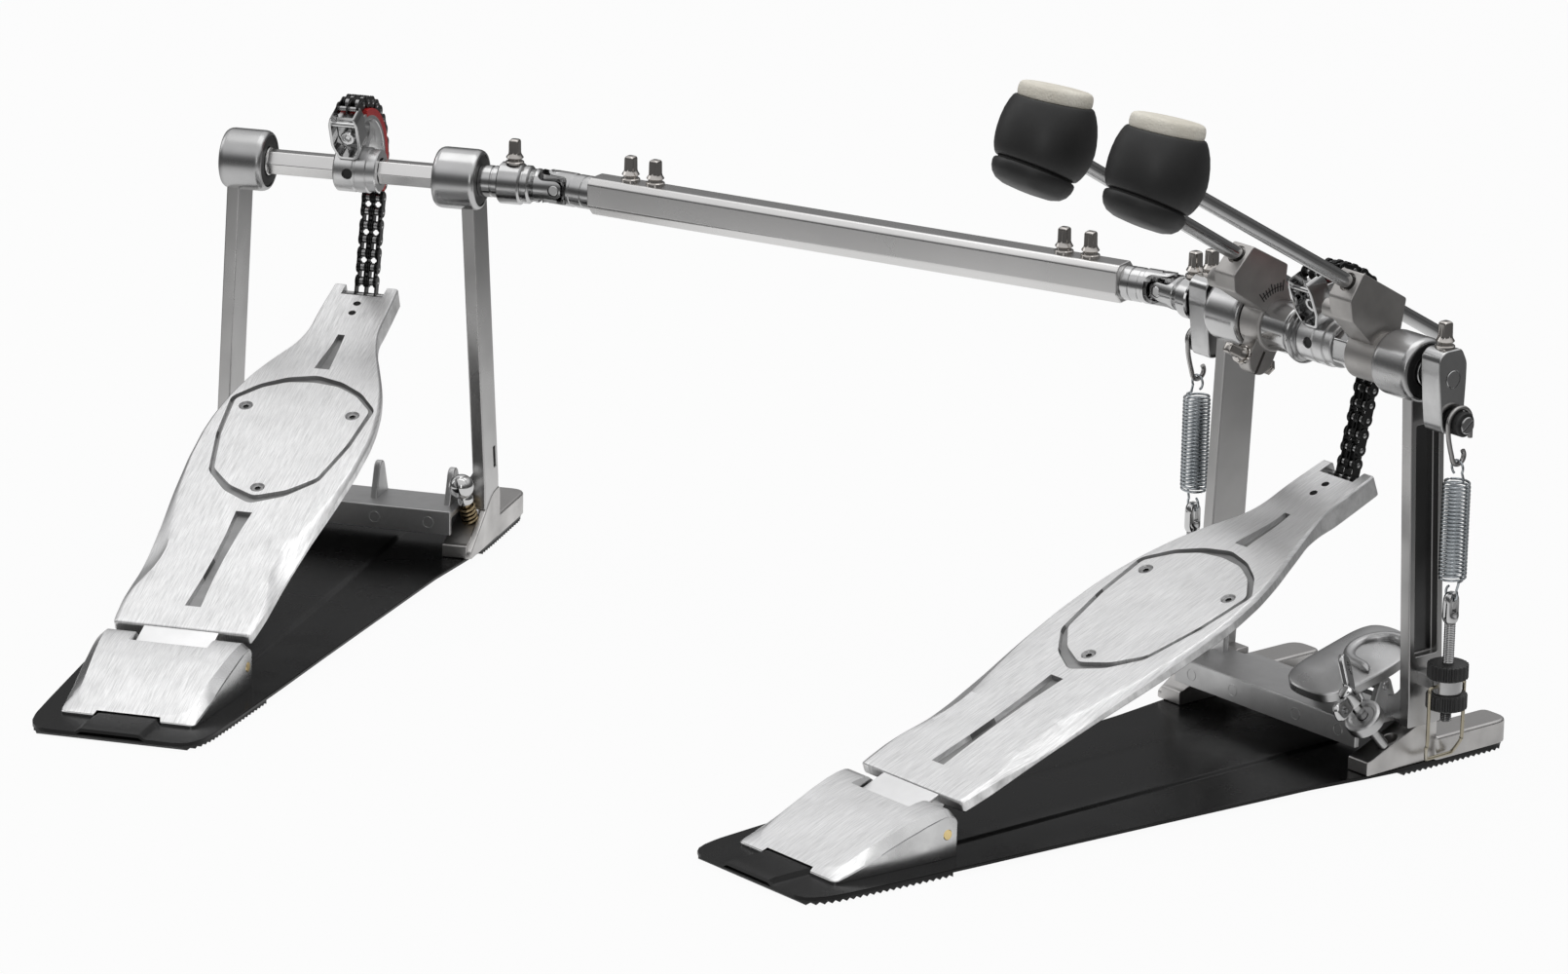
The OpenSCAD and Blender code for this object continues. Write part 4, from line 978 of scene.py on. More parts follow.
def link_plates(k):
    a, b = pin_at(k), pin_at(k + 1)
    d = b - a
    turn = math.atan2(d[1], d[0])
    c, n = math.cos(turn), math.sin(turn)
    out = plate_outline(float(np.hypot(*d)))
    yz = np.stack([a[0] + out[:, 0] * c - out[:, 1] * n, a[1] + out[:, 0] * n + out[:, 1] * c], 1)
    return [slab_x(yz, x - 0.45, x + 0.45, 0.22, 1)
            for x in ((-5.9, 0, 5.9) if k % 2 else (-4.75, -1.15, 1.15, 4.75))]


def chain_pieces(k0, k1, low_pin, high_pin, low_half):
    """Plates, rollers and pins of one stretch of chain."""
    plates = [p for k in range(k0, k1) for p in link_plates(k)]
    rollers, pins = [], []
    for k in range(k0, k1 + 1):
        at = shift(0, *pin_at(k))
        if k0 < k < k1 or (k == k0 and not low_pin) or (k == k1 and not high_pin):
            for x in (-4.25, 1.65):
                rollers.append(turned([(x, 0), (x, 2.2), (x + 0.3, 2.5), (x + 2.3, 2.5), (x + 2.6, 2.2),
                                       (x + 2.6, 0)], 20).put(at))
        if (low_pin or k > k0) and (high_pin or k < k1):
            half, r = (low_half, 1.6) if k == k0 and low_half else (6.9, 1.3)
            pins.append(turned([(-half, 0), (-half, r * 0.7), (-half + 0.3, r), (half - 0.3, r),
                                (half, r * 0.7), (half, 0)], 16).put(at))
    return joined(plates), joined(rollers) if rollers else None, joined(pins) if pins else None


CHAINS = (
    ("_chain", "_run", -9, 0, True, True, 18.5),
    ("_bend_b", "_bend_high", 0, 3, False, False, 0),
    ("_bend_a", "_bend_low", 3, 6, True, True, 0),
    ("_cam_chain", "_rotor", 6, 10, False, True, 0),
)


def make_chains():
    for tag, place, _ in SIDES:
        for node, body, k0, k1, low, high, half in CHAINS:
            plates, rollers, pins = chain_pieces(k0, k1, low, high, half)
            name, on = tag + node, tag + body
            piece(name + "_plates", plates.put(place), "chain black", on, name, sharp=40)
            piece(name + "_rollers", rollers.put(place), "chain roller", on, sharp=40)
            if pins:
                piece(name + "_pins", pins.put(place), "chain pin", on, sharp=40)


# Springs, hooks, tension rods and nuts


SPRING_X, SPRING_Y = 98.0, 2.6
ROLLER_Z = AXLE - 23.0
HOOK_LOW = 172.0


def coil_path():
    """The spring's wire: P(t) = (R cos 2 pi t, R sin 2 pi t, z0 + pitch t) with R a little smaller over the
    end turns, between a round loop at each end that lies in the plane of X and Z."""
    t = np.linspace(0, 27, 27 * 20 + 1)
    r = 6.85 * (1 - 0.35 * np.exp(-t / 0.35) - 0.35 * np.exp(-(27 - t) / 0.35))
    coil = np.stack([r * np.cos(2 * math.pi * t), r * np.sin(2 * math.pi * t), 109.4 + 54.2 * t / 27], 1)
    a = np.radians(-62 + 15 * np.arange(2, 21))
    top = np.stack([4 * np.cos(a), 0 * a, 170.15 + 4 * np.sin(a)], 1)
    low = np.stack([4 * np.cos(a[::-1]), 0 * a, 102.5 - 4 * np.sin(a[::-1])], 1)
    return np.vstack([low, smooth_path([low[-1], [4.4, 0.2, 108.2], coil[0]], 3)[1:-1], coil,
                      smooth_path([coil[-1], [4.4, 0.2, 164.9], top[0]], 3)[1:-1], top])


def arc_yz(c, r, a0, a1, n):
    a = np.radians(np.linspace(a0, a1, n))
    return np.stack([0 * a, c[0] + r * np.cos(a), c[1] + r * np.sin(a)], 1)


def hook_path():
    """The D hook: over the roller, down one side, and curled round the spring's loop."""
    r = 8.05
    return smooth_path(np.vstack([
        [[0, r, ROLLER_Z - 9]], [[0, r, ROLLER_Z - 5]], arc_yz((0, ROLLER_Z), r, 0, 180, 13),
        [[0, -r + 0.4, ROLLER_Z - 6], [0, -6.2, ROLLER_Z - 12], [0, -4.6, HOOK_LOW + 5]],
        arc_yz((0, HOOK_LOW + 4.2), 4.2, 200, 400, 10)]), 3)


def thread_shape(r, z0, z1, pitch=0.9):
    """A threaded bar standing on z0: r(z) = r - depth |saw(z / pitch)|, ring by ring."""
    n = int((z1 - z0) / pitch) * 2
    z = np.linspace(z0, z1, n + 1)
    rr = np.where(np.arange(n + 1) % 2 == 0, r - 0.42, r)
    return upright(np.r_[[(0, z0)], np.stack([rr, z], 1), [(0, z1)]], 24)


def eye_shape():
    """The end of a tension rod over its thread: turned rings, clipped in X to the two flats."""
    a = around(48)
    z = np.array([86.6, 87.2, 88.4, 89.6, 90.4, 91.4, 92.6, 97.6, 99.6, 101.2, 102.4, 103.1, 103.4])
    r = np.array([2.6, 3.6, 4.1, 4.3, 4.3, 4.3, 4.3, 4.3, 4.15, 3.7, 2.9, 1.9, 0.8])
    flat = np.array([9, 9, 9, 9, 3.8, 3.1, 2.7, 2.6, 2.6, 2.5, 2.2, 1.6, 0.8])
    limit = np.repeat(flat, len(a))
    return spun(r[:, None], z, a).put(lambda p: np.c_[np.clip(p[:, 0], -limit, limit), p[:, 1:]])


def nut_shape(z):
    """A knurled nut: r(a) = 10 + 0.85 clip(2.4 cos 24 a + 0.5) outside, with chamfered rims."""
    a = around(192)
    ridge = np.clip(2.4 * np.cos(24 * a) + 0.5, 0, 1)
    prof = [(3.1, z), (9.2, z), (10.0, z + 0.7), (10.0, z + 7.9), (9.2, z + 8.6), (3.1, z + 8.6)]
    r, h = np.array(prof).T[:, :, None]
    return spun(np.where(r > 9.5, r + 0.85 * ridge, r), h[:, 0], a, loop=True)


def bail_path():
    x, low = SPRING_X, 83.9
    return smooth_path([(x, -7.75, 53), (x, -10.4, 53), (x, -12.2, 52), (x, -12.6, 50), (x, -12.6, 24),
                        (x - 0.7, -12.2, 21), (x - 2.6, -10.8, 18.6), (low + 2.4, -1.4, 9.8),
                        (low + 1.1, 0.3, 8.4), (low + 0.9, 2, 8), (low + 0.9, 17, 8),
                        (low + 1.1, 18.6, 8.5), (low + 2.4, 19, 10), (x - 2.6, 14.2, 18.4),
                        (x - 0.8, 13, 21), (x, 12.6, 24), (x, 12.6, 50), (x, 12.2, 52), (x, 10.4, 53),
                        (x, 7.75, 53)], 4)


def make_springs():
    at_spring = shift(SPRING_X, SPRING_Y, 0)
    for side, flip, _ in ENDS:
        coil = piece(side + "_coil", tube(coil_path(), 0.68, (0.02, 1, 0.01), 10).put(at_spring, flip),
                     "spring wire", None, side + "_spring", sharp=60)
        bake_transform(coil)
        piece(side + "_hook_wire", tube(hook_path(), 1.32, (1, 0, 0), 14).put(at_spring, flip), "hook wire",
              side + "_hook_body", side + "_hook", sharp=60)
        rod = thread_shape(3.0, 33, 87.5)
        piece(side + "_tension_thread", rod.put(at_spring, flip), "bright steel", "primary_base", sharp=80)
        slot_cut = block((-8, -1.35, 92), (8, 1.35, 100.7), 0.3)
        piece(side + "_tension_eye", eye_shape().put(at_spring, flip), "chrome", "primary_base",
              side + "_eye_rod", cut=slot_cut.put(at_spring, flip), edges=0.25, sharp=35)
        piece(side + "_tension_knurls", (nut_shape(40) + nut_shape(56.4)).put(at_spring, flip),
              "black plastic", "primary_base", "tension_nuts" if side == "right" else (), sharp=40)
        piece(side + "_bail", tube(bail_path(), 1.0, (0.3, 0.1, 1), 12).put(shift(0, SPRING_Y, 0), flip),
              "bail wire", "primary_base", "wire_bails" if side == "right" else (), sharp=60)


# Rockers and rollers


ROCKER = [(-10, 12), (-6, 15.5), (6, 15.5), (10, 8), (10, -2), (9.3, -18), (7, -29), (-4.5, -29),
          (-6.5, -26), (-10, 2)]


def ring_x(x0, x1, r0, r1, n=48, e=0.2):
    """A ring about X between radii r0 and r1, its outer rims chamfered by e."""
    rim = [(x0, r0), (x0, r1 - e), (x0 + e, r1), (x1 - e, r1), (x1, r1 - e), (x1, r0)]
    return turned(rim, n, loop=True)


def make_rockers():
    for side, flip, body in ENDS:
        arm = slab_x(fillet(ROCKER, 2.6, 5), 80.5, 94.5, 1.1, 4).put(on_axle, flip)
        groove = ring_x(93.9, 95.5, 4.7, 5.2, 40, 0.01).put(on_axle, flip)
        piece(side + "_rocker_arm", arm, "satin steel", body, side + "_rocker", cut=groove)
        bolt = key_bolt_shape().put(shift(87.5, 0, AXLE + 15.4), flip)
        piece(side + "_rocker_bolt", bolt, "key nickel", body)
        at = shift(0, SPRING_Y, ROLLER_Z)
        wheel = turned([(94.6, 0), (94.6, 6.1), (95.1, 6.6), (101.9, 6.6), (102.6, 5.9), (102.6, 0)], 48)
        piece(side + "_roller_wheel", wheel.put(at, flip), "black plastic", body, side + "_roller")
        head = turned([(102.4, 0), (102.4, 4.6), (103.9, 4.6), (104.4, 4.1), (104.4, 0)], 40)
        drive = block((103.5, -6, -0.55), (106, 6, 0.55), 0.05).put(lambda v: turn_x(v, math.radians(38)),
                                                                    at, flip)
        piece(side + "_roller_screw", head.put(at, flip), "bright steel", body, cut=drive)


# Hubs that hold the beater rods


SLAVE_BLOCK = [(-20.6, 45.5), (5, 31.9), (4, 23.3), (9.3, 10), (-10, 8), (-33, 22.6), (-34.3, 31.7)]
PRIMARY_BLOCK = [(-19, 48.5), (12.8, 30.3), (9.7, 14), (8, 8), (-10, 8), (-25.7, 23.3), (-28, 35)]
FOOT = [(-9, -8), (9, -8), (9, -23), (4.5, -29), (-4.5, -29), (-9, -23)]
FOOT_TURN = math.radians(-28)


def at_rod(x, far, tilt):
    """From rod coordinates, Y along the rod, to the row frame."""
    return lambda p: turn_x(np.asarray(p, float) + [0, 0, far], math.radians(-tilt)) + [x, 0, AXLE]


def along_y(p):
    return np.asarray(p, float)[:, [1, 0, 2]]


def at_foot(p):
    return turn_x(p, FOOT_TURN) + [0, 0, AXLE]


def graduation_shape():
    """Nine plain division lines and the arc they cross, on the side of the slave hub: points (r cos a, r
    sin a)."""
    marks = []
    for i in range(9):
        a = math.radians(85 + 5.5 * i)
        d, n = np.array([math.cos(a), math.sin(a)]), np.array([-math.sin(a), math.cos(a)]) * 0.32
        r = 24.0 if i % 4 == 0 else 22.8
        marks.append(slab_x([18.2 * d - n, r * d - n, r * d + n, 18.2 * d + n], -34.7, -34.42, 0.02, 1))
    a = np.radians(np.linspace(84, 130, 24))
    arc = np.stack([np.cos(a), np.sin(a)], 1)
    marks.append(slab_x(np.vstack([20.8 * arc, 20.4 * arc[::-1]]), -34.7, -34.42, 0.02, 1))
    return joined(marks)


def make_hubs():
    x, far, tilt, reach, _ = BEATERS["primary"]
    rod = at_rod(x, far, tilt)
    hub = slab_x(fillet(PRIMARY_BLOCK, 1.3, 4), 29.5, 46, 0.7).put(on_axle)
    hub += ring_x(28, 49.6, 7.6, 14, 64, 0.8).put(on_axle)
    hub += rod_x(22.4, 31, 5.2, 0.8).put(shift(0, -21.2, 26), on_axle)
    cut = turned([(-70, 0), (-70, 5.2), (-38.6, 5.2), (-38.6, 0)], 40).put(along_y, rod)
    cut += turned([(21, 0), (21, 2.6), (24.6, 2.6), (24.6, 0)], 6).put(shift(0, -21.2, 26), on_axle)
    piece("primary_hub_casting", hub, "hub casting", "primary_rotor", "primary_hub", cut=cut, edges=0.3)

    x, far, tilt, reach, _ = BEATERS["slave"]
    rod = at_rod(x, far, tilt)
    hub = slab_x(fillet(SLAVE_BLOCK, 1.3, 4), -49.9, -34.6, 0.7).put(on_axle)
    hub += ring_x(-49.9, -34.9, 8.3, 15, 64, 0.8).put(on_axle)
    hub += slab_x(fillet(FOOT, [0.1, 0.1, 3, 4, 4, 3], 5), -46, -37, 0.9).put(at_foot)
    hub += rod_x(-57, -48.5, 5.2, 0.8).put(shift(0, -27.6, 25.4), on_axle)
    cut = turned([(-70, 0), (-70, 5.2), (-40, 5.2), (-40, 0)], 40).put(along_y, rod)
    cut += turned([(-59, 0), (-59, 2.6), (-54.8, 2.6), (-54.8, 0)], 6).put(shift(0, -27.6, 25.4), on_axle)
    cut += block((-60, -0.9, -40), (-30, 0.9, -16), 0.2).put(at_foot)
    piece("slave_hub_casting", hub, "hub casting", "aux_body", "slave_hub", cut=cut, edges=0.3)
    piece("slave_hub_divisions", graduation_shape().put(on_axle), "seal black", "aux_body")

    side = lambda v: turn_x(v, math.radians(90))
    bolt = key_bolt_shape().put(side, shift(-41.5, -9, -22), at_foot)
    nut = slab(pill(0, 0, 4.6, 6), 9, 12.4, 0.5, 2).put(lambda v: turn_x(v, math.radians(-90)),
                                                        shift(-41.5, 0, -22), at_foot)
    top = key_bolt_shape().put(shift(-100, 0, 11.5), on_axle)
    piece("aux_key_bolts", bolt + nut + top, "key nickel", "aux_body", "aux_bolts")

    for tag, (x, far, tilt, reach, body) in BEATERS.items():
        bar = turned([(-reach - 12, 0), (-reach - 12, 4), (38, 4), (38.6, 3.8), (39, 3.4), (39, 0)], 48)
        piece(tag + "_beater_rod", bar.put(along_y, at_rod(x, far, tilt)), "rod steel", body, tag + "_rod")


# Cams, liners and chain anchors


CAM_R = 33.1
LINER_R = 34.9
ANCHOR_TURN = math.radians(112)
ANCHOR = [(-5.3, 11.6), (5.3, 11.6), (8.8, 20), (8.8, 34.5), (6.9, 40.4), (-6.9, 40.4), (-8.8, 34.5),
          (-8.8, 20)]


def sector(r0, r1, a0, a1, n=40):
    """The outline between two arcs, in Y and Z, angles in degrees from +Y."""
    a = np.radians(np.linspace(a0, a1, n))
    arc = np.stack([np.cos(a), np.sin(a)], 1)
    return np.vstack([r1 * arc, r0 * arc[::-1]])


def window(r0, r1, a0, a1):
    """A sector with its four corners rounded."""
    a = np.radians([a0, a1])
    corners = ((r1, a[0]), (r1, a.mean()), (r1, a[1]), (r0, a[1]), (r0, a[0]))
    c = [(r * math.cos(t), r * math.sin(t)) for r, t in corners]
    c[1] = (1.1 * c[1][0], 1.1 * c[1][1])
    return fillet(c, [4, 30, 4, 2.5, 2.5], 8)


def at_anchor(p):
    """From anchor coordinates, x, u out from the axle and w towards the player, to the pedal's own frame."""
    return turn_x(p, ANCHOR_TURN) + [0, 0, AXLE]


def cam_shape():
    shape = slab_x(sector(CAM_R - 4.6, CAM_R, -34, 107), -8, 8, 0.6)
    shape += slab_x(sector(9, CAM_R - 4, -31, 104, 30), -3.4, 3.4, 0.9)
    hub = [(-9, 7.6), (-9, 12), (-8, 13), (2.2, 13), (2.8, 12.4), (3.6, 12.4), (4.2, 13), (10, 13),
           (10.6, 12.2), (15.4, 12.2), (16, 11.6), (16, 7.6)]
    shape += turned(hub, 64, loop=True)
    cut = slab_x(window(14.5, 27.6, -22, 34), -12, 12, 0.01, 1)
    cut += slab_x(window(14.5, 27.6, 46, 94), -12, 12, 0.01, 1)
    cut += turned([(8, 0), (8, 2.9), (8, 2.9), (12.3, 2.9), (13.4, 3.5), (20, 3.5), (20, 0)], 32).put(
        lambda v: np.stack([v[:, 1], -v[:, 0], v[:, 2]], 1))
    return shape.put(on_axle), cut.put(on_axle)


def anchor_shape():
    """The chain's bracket, an open tray with a hollow hexagonal face, and what is cut out of it."""
    tray = slab(fillet(ANCHOR, 2.2, 5), -4.8, 7.6, 0.6)
    inner = [(-4.4, 13.4), (4.4, 13.4), (7.2, 20.4), (7.2, 34.2), (5.6, 44), (-5.6, 44), (-7.2, 34.2),
             (-7.2, 20.4)]
    cut = slab(fillet(inner, 1.6, 5), -2.2, 12, 0.8)
    cut += block((-6.9, 31, -7), (6.9, 46, -1), 0.4)
    bar = rod_x(-8.2, 8.2, 1.5, 0.3, 20).put(shift(0, 33.6, 4.6))
    return tray.put(at_anchor), cut.put(at_anchor), bar.put(at_anchor)


def make_cams():
    for tag, place, _ in SIDES:
        body = tag + "_rotor"
        shape, cut = cam_shape()
        piece(tag + "_cam_casting", shape.put(place), "cam satin", body, tag + "_cam", cut=cut.put(place),
              edges=0.4)
        liner = slab_x(sector(CAM_R - 2.2, LINER_R, -34, 93, 60), -8.25, 8.25, 0.35)
        piece(tag + "_cam_lining", liner.put(on_axle, place), "red liner", body, tag + "_liner")
        plug = rod_x(-11.9, -8.1, 2.98, 0.1, 24).put(lambda v: np.stack([v[:, 1], v[:, 0], -v[:, 2]], 1),
                                                     on_axle, place)
        piece(tag + "_cam_lock_screw", plug, "seal black", body)
        tray, cut, bar = anchor_shape()
        piece(tag + "_chain_anchor", tray.put(place), "chrome", body, cut=cut.put(place), edges=0.3)
        r, h = 4.3, 5.6
        head = [(r, 0, 0), (r, h - 0.6, 0), (r - 0.6, h, 0), (r * 0.62, h, 0), (r, h - 0.3, 1),
                (r, h * 0.4, 1)]
        screw = socket_shape(head, 0.44, 48).put(shift(0, 23, -2.2), at_anchor)
        piece(tag + "_anchor_screw", (screw + bar).put(place), "chrome", body)


# Axles, sleeve, collars and universal joints


def nut_x(x0, x1, r, top):
    """A hexagon nut about X: each ring's radius is the smaller of the hexagon and a cone that chamfers its
    ends."""
    a = around(96)
    x = [x0, x0 + 0.5, x0 + 1.5, x1 - 1.5, x1 - 0.5, x1]
    limit = np.array([top, top + 0.7, r + 1, r + 1, top + 0.7, top])
    q = np.minimum(r * math.cos(math.pi / 6) * hex_radius(a), limit[:, None])
    return spun(q, x, a).put(lambda v: v[:, [2, 0, 1]])


def yoke():
    """A yoke on the X axis, joint centre at 0 and pin along Y: a round bar, and the slot, shoulders and pin
    hole cut from it. A shoulder's outline is a quarter circle into the ear and a half circle round the
    pin."""
    bar = turned([(-15, 0), (-15, 8.8), (-14.6, 9.2), (-12.2, 9.2), (-11.8, 9.6), (4.2, 9.6), (5.1, 8.4),
                  (5.1, 0)], 64)
    slot = block((-8.4, -5.5, -20), (20, 5.5, 20), 2.2, 4)
    a = np.radians(np.linspace(180, 270, 8))
    b = np.radians(np.linspace(90, 0, 10))
    hollow = np.stack([-6.2 + 4.4 * np.cos(a), 9.5 + 4.4 * np.sin(a)], 1)
    end = np.stack([5.1 * np.cos(b), 5.1 * np.sin(b)], 1)
    edge = np.vstack([[(-10.6, 14)], hollow, end, [(16, 0), (16, 14)]])
    cut = slot + slab_y(edge, -20, 20, 0.01, 1) + slab_y(edge * [1, -1], -20, 20, 0.01, 1)
    cut += turned([(-20, 0), (-20, 3.25), (20, 3.25), (20, 0)], 32).put(along_y)
    return bar, cut


def cross_shape():
    """The cross between two yokes: a block and two pins with rounded ends."""
    pin = [(-9.3, 0), (-9.3, 2.5), (-8.9, 3.0), (8.9, 3.0), (9.3, 2.5), (9.3, 0)]
    long = turned(pin, 32)
    core = block((-4.4, -4.4, -4.4), (4.4, 4.4, 4.4), 0.6)
    return core + long.put(along_y) + long.put(lambda v: v[:, [1, 2, 0]])


def make_axles():
    hexbar = fillet(pill(0, 0, 7.5, 6), 0.5, 3)
    ring = [(-14, 6.3), (-14, 15.2), (-13.3, 15.9), (-12.2, 16), (-11.6, 15.3), (-11.2, 14.4), (-10, 14.4),
            (-9.4, 13.4), (-9.1, 12.6), (-9.1, 6.3)]
    flange = turned(ring, 64, loop=True)
    journal = rod_x(50, 77, 8, 0.4, 48) + rod_x(76, 94.8, 4.6, 0.3, 40)
    bar = slab_x(hexbar, -9, 50.1, 0.2, 2)
    piece("primary_axle_bar", (bar + flange + journal).put(on_axle), "satin steel", "primary_rotor",
          "primary_axle")
    piece("primary_axle_nut", nut_x(16.1, 27.6, 12.2, 10.8).put(on_axle), "chrome", "primary_rotor")

    sleeve = [(-36, 8.3), (-36, 13), (-35.5, 13.5), (-19, 13.5), (-18.3, 13.1), (-17.9, 12.2), (-17.2, 12),
              (-16.5, 12.4), (-16.2, 13.4), (-15.6, 14.1), (-14.9, 14.1), (-14.5, 13.5), (-14.5, 8.3)]
    ends = [(-110.5, 0), (-110.5, 9.2), (-104.6, 9.2), (-104.3, 10), (-103.4, 11.1), (-102.6, 11.8),
            (-96.3, 11.8), (-95.5, 11.1), (-95.5, 5.6), (-77, 5.6), (-77, 7.6), (-76.6, 8), (-36, 8),
            (-36, 0)]
    shaft = turned(sleeve, 64, loop=True) + turned(ends, 64)
    piece("aux_shaft_bar", shaft.put(on_axle), "satin steel", "aux_body", "aux_shaft")

    ends = [(75.4, 0), (75.4, 8.5), (75.8, 9), (82.4, 9), (82.8, 8.4), (83.4, 8.4), (83.8, 9), (86.9, 9),
            (87.1, 10.9), (87.9, 11.8), (99.4, 11.8), (100.2, 11.2), (100.8, 10.1), (101.6, 10.1),
            (102, 10.8), (104.6, 10.8), (105.4, 10), (105.8, 9.2), (110.5, 9.2), (110.5, 0)]
    axle = slab_x(hexbar, -51.5, 51, 0.2, 2) + rod_x(50, 76.4, 8, 0.4, 48) + rod_x(-77, -50, 8, 0.4, 48)
    piece("slave_axle_bar", axle.put(on_axle, at_slave), "bright bar", "slave_rotor", "slave_axle")
    piece("slave_axle_sleeve", turned(ends, 64).put(on_axle, at_slave), "satin steel", "slave_rotor")
    bolt = key_bolt_shape().put(shift(95, 0, AXLE + 11.5), at_slave)
    piece("slave_axle_bolt", bolt, "key nickel", "slave_rotor")

    half = lambda v: turn_z(v, math.pi)
    quarter = lambda v: turn_x(v, math.pi / 2)
    yokes = (
        ("slave_axle_yoke", (shift(JOINT_X, 0, AXLE), at_slave), "slave_rotor", ()),
        ("aux_shaft_yoke", (half, shift(-JOINT_X, 0, AXLE)), "aux_body", ()),
        ("tube_right_yoke", (quarter, shift(SHAFT_LEN, 0, 0), at_shaft), "tube_body", "right_yoke"),
        ("tube_left_yoke", (quarter, mirror_x, at_shaft), "slide_rod_body", "left_yoke"),
    )
    for name, moves, body, node in yokes:
        bar, cut = yoke()
        piece(name, bar.put(*moves), "satin steel", body, node, cut=cut.put(*moves), edges=0.35)
    neck = turned([(-TUBE_0, 0), (-TUBE_0, 9), (-24.6, 9.4), (-20.4, 9.4), (-20, 8.8), (-19.4, 8.8),
                   (-19, 9.4), (-14.8, 9.4), (-14.4, 9), (-14.4, 0)], 64)
    piece("tube_right_neck", neck.put(shift(SHAFT_LEN, 0, 0), at_shaft), "satin steel", "tube_body")
    slide = rod_x(TUBE_0 - 1, TUBE_0 + 200, 6, 0.4, 40)
    piece("tube_left_neck", (neck.put(mirror_x) + slide).put(at_shaft), "satin steel", "slide_rod_body")
    crosses = (("right", (shift(-JOINT_X, 0, AXLE),)), ("left", (shift(JOINT_X, 0, AXLE), at_slave)))
    for side, moves in crosses:
        piece(side + "_cross_pins", cross_shape().put(*moves), "chrome", side + "_cross_body",
              side + "_cross")


# Frames


DECK = 4.4
BAR_TOP = 30.0
CLAMP_Y, CLAMP_Z = -8.0, 45.0
SPUR_AT = (73, -13, 26)


def post_in(z):
    """Inner face of a post at height z."""
    return 66.2 + (200 - z) * 0.049


def at_spur(p):
    """The spur leans 8 degrees about Y and then 18 about X."""
    return turn_x(turn_y(p, math.radians(-8)), math.radians(18)) + SPUR_AT


def barrel_shape():
    """A bearing barrel: its turned section with soft rims and a shallow seat for the seal at both ends."""
    half = [(50.5, 14.8), (50.6, 15.3), (50.9, 16), (51.6, 16.6), (52.8, 17.1), (54.2, 17.3)]
    far = [(126.5 - x, r) for x, r in half[::-1]]
    seat = [(74.6, 14.6), (74.6, 8.3), (51.9, 8.3), (51.9, 14.6)]
    return turned(half + far + seat, 72, loop=True).put(on_axle)


def seal_shape():
    rim = [(8.2, 0.2), (8.9, 0.9), (10.2, 1.0), (13.8, 0.9), (14.5, 0.3)]
    inner = [(51.9 - z, r) for r, z in rim]
    outer = [(74.6 + z, r) for r, z in rim[::-1]]
    return turned(inner + outer, 64, loop=True).put(on_axle)


def foot_wall_shape():
    """The tall outer wall of a foot, with its slope in front of the post."""
    wall = [(-34, DECK), (-34, 8.2), (-33, 9.4), (4, 33.4), (16.2, 34.2), (18, 30), (18, DECK)]
    return slab_x(fillet(wall, [1.5, 1.6, 1.6, 5, 1.6, 1.6, 1.5], 4), 78, 82.05, 0.9)


def foot_floor_shape():
    """The sloping floor inside the outer wall, thin in front and high at the post."""
    floor = [(-34, DECK), (-34, 12), (-31, 12.4), (8, 28), (15.9, 28), (15.9, DECK)]
    return slab_x(fillet(floor, [0.8, 1, 1, 1, 0.8, 0.8], 3), 64.5, 79, 0.4)


def foot_block_shape():
    """The flat block behind the post, rounded at its far corner."""
    back = [(62, 13), (82, 13), (82, 68), (62, 68)]
    return slab(fillet(back, [2.6, 2.6, 10, 5], 7), DECK, 17, 0.3, 4, top=1.6)


def post_shape():
    lean = [(post_in(203), 203), (post_in(26), 26), (81.7, 26), (post_in(40) + 7.5, 40),
            (post_in(203) + 7.5, 203)]
    return slab_y(lean, -8, 16, 0.9, 3)


def arc2(x, y, r, a0, a1, n=10):
    a = np.radians(np.linspace(a0, a1, n))
    return np.stack([x + r * np.cos(a), y + r * np.sin(a)], 1)


def bar_shape():
    """The crossbar, a channel with its open side down and a low rim along the front of its top."""
    front = [(-34, 17.4), (-34, BAR_TOP + 1.2), (-31.4, BAR_TOP + 1.2), (-30.4, BAR_TOP), (2, BAR_TOP),
             (2, 10), (-1, 10), (-1, BAR_TOP - 3), (-31, BAR_TOP - 3), (-31, 17.4)]
    return slab_x(fillet(front, [0.3, 0.8, 0.8, 0.6, 1.2, 0.3, 0.3, 1, 1, 0.3], 3), -69, 69, 0.2, 1)


def ear_shapes():
    """The two ears of the hoop clamp, and beside them the webs that run up to the posts in a hollow curve."""
    ear = np.vstack([[(-19, BAR_TOP - 2)], arc2(CLAMP_Y, CLAMP_Z, 4.6, 165, 15), [(3, BAR_TOP - 2)]])
    web = np.vstack([[(60.6, BAR_TOP - 2), (60.6, 39)], arc2(60.6, 53, 14, -80, -8, 9),
                     [(75, 70), (76.5, 70), (76.5, BAR_TOP - 2)]])
    web = slab_y(web, -6.4, -2.6, 0.8)
    return slab_x(ear, 16, 20, 0.8) + slab_x(ear, 60, 64, 0.8) + web + web.put(mirror_x)


def marks_shape():
    """Round ejector marks on the front of the crossbar, as low rings."""
    ring = turned([(-0.02, 2.9), (0.16, 3.0), (0.16, 3.3), (-0.02, 3.4)], 32, loop=True)
    ring = ring.put(lambda v: np.stack([v[:, 1], -34 - v[:, 0], v[:, 2]], 1))
    return joined([ring.put(shift(x, 0, 24)) for x in (-56, -24, 24, 56)])


def foot_hole(spring_side):
    r = 4.2 if spring_side else 3.3
    hole = upright([(0, -12), (r, -12), (r, 60), (0, 60)], 32)
    return hole.put(shift(73, -13, 18)) if spring_side else hole.put(at_spur)


def foot_dish():
    return turned([(79.9, 0), (79.9, 6.5), (82.3, 11.5), (84, 11.5), (84, 0)], 40).put(shift(0, 10.5, 16))


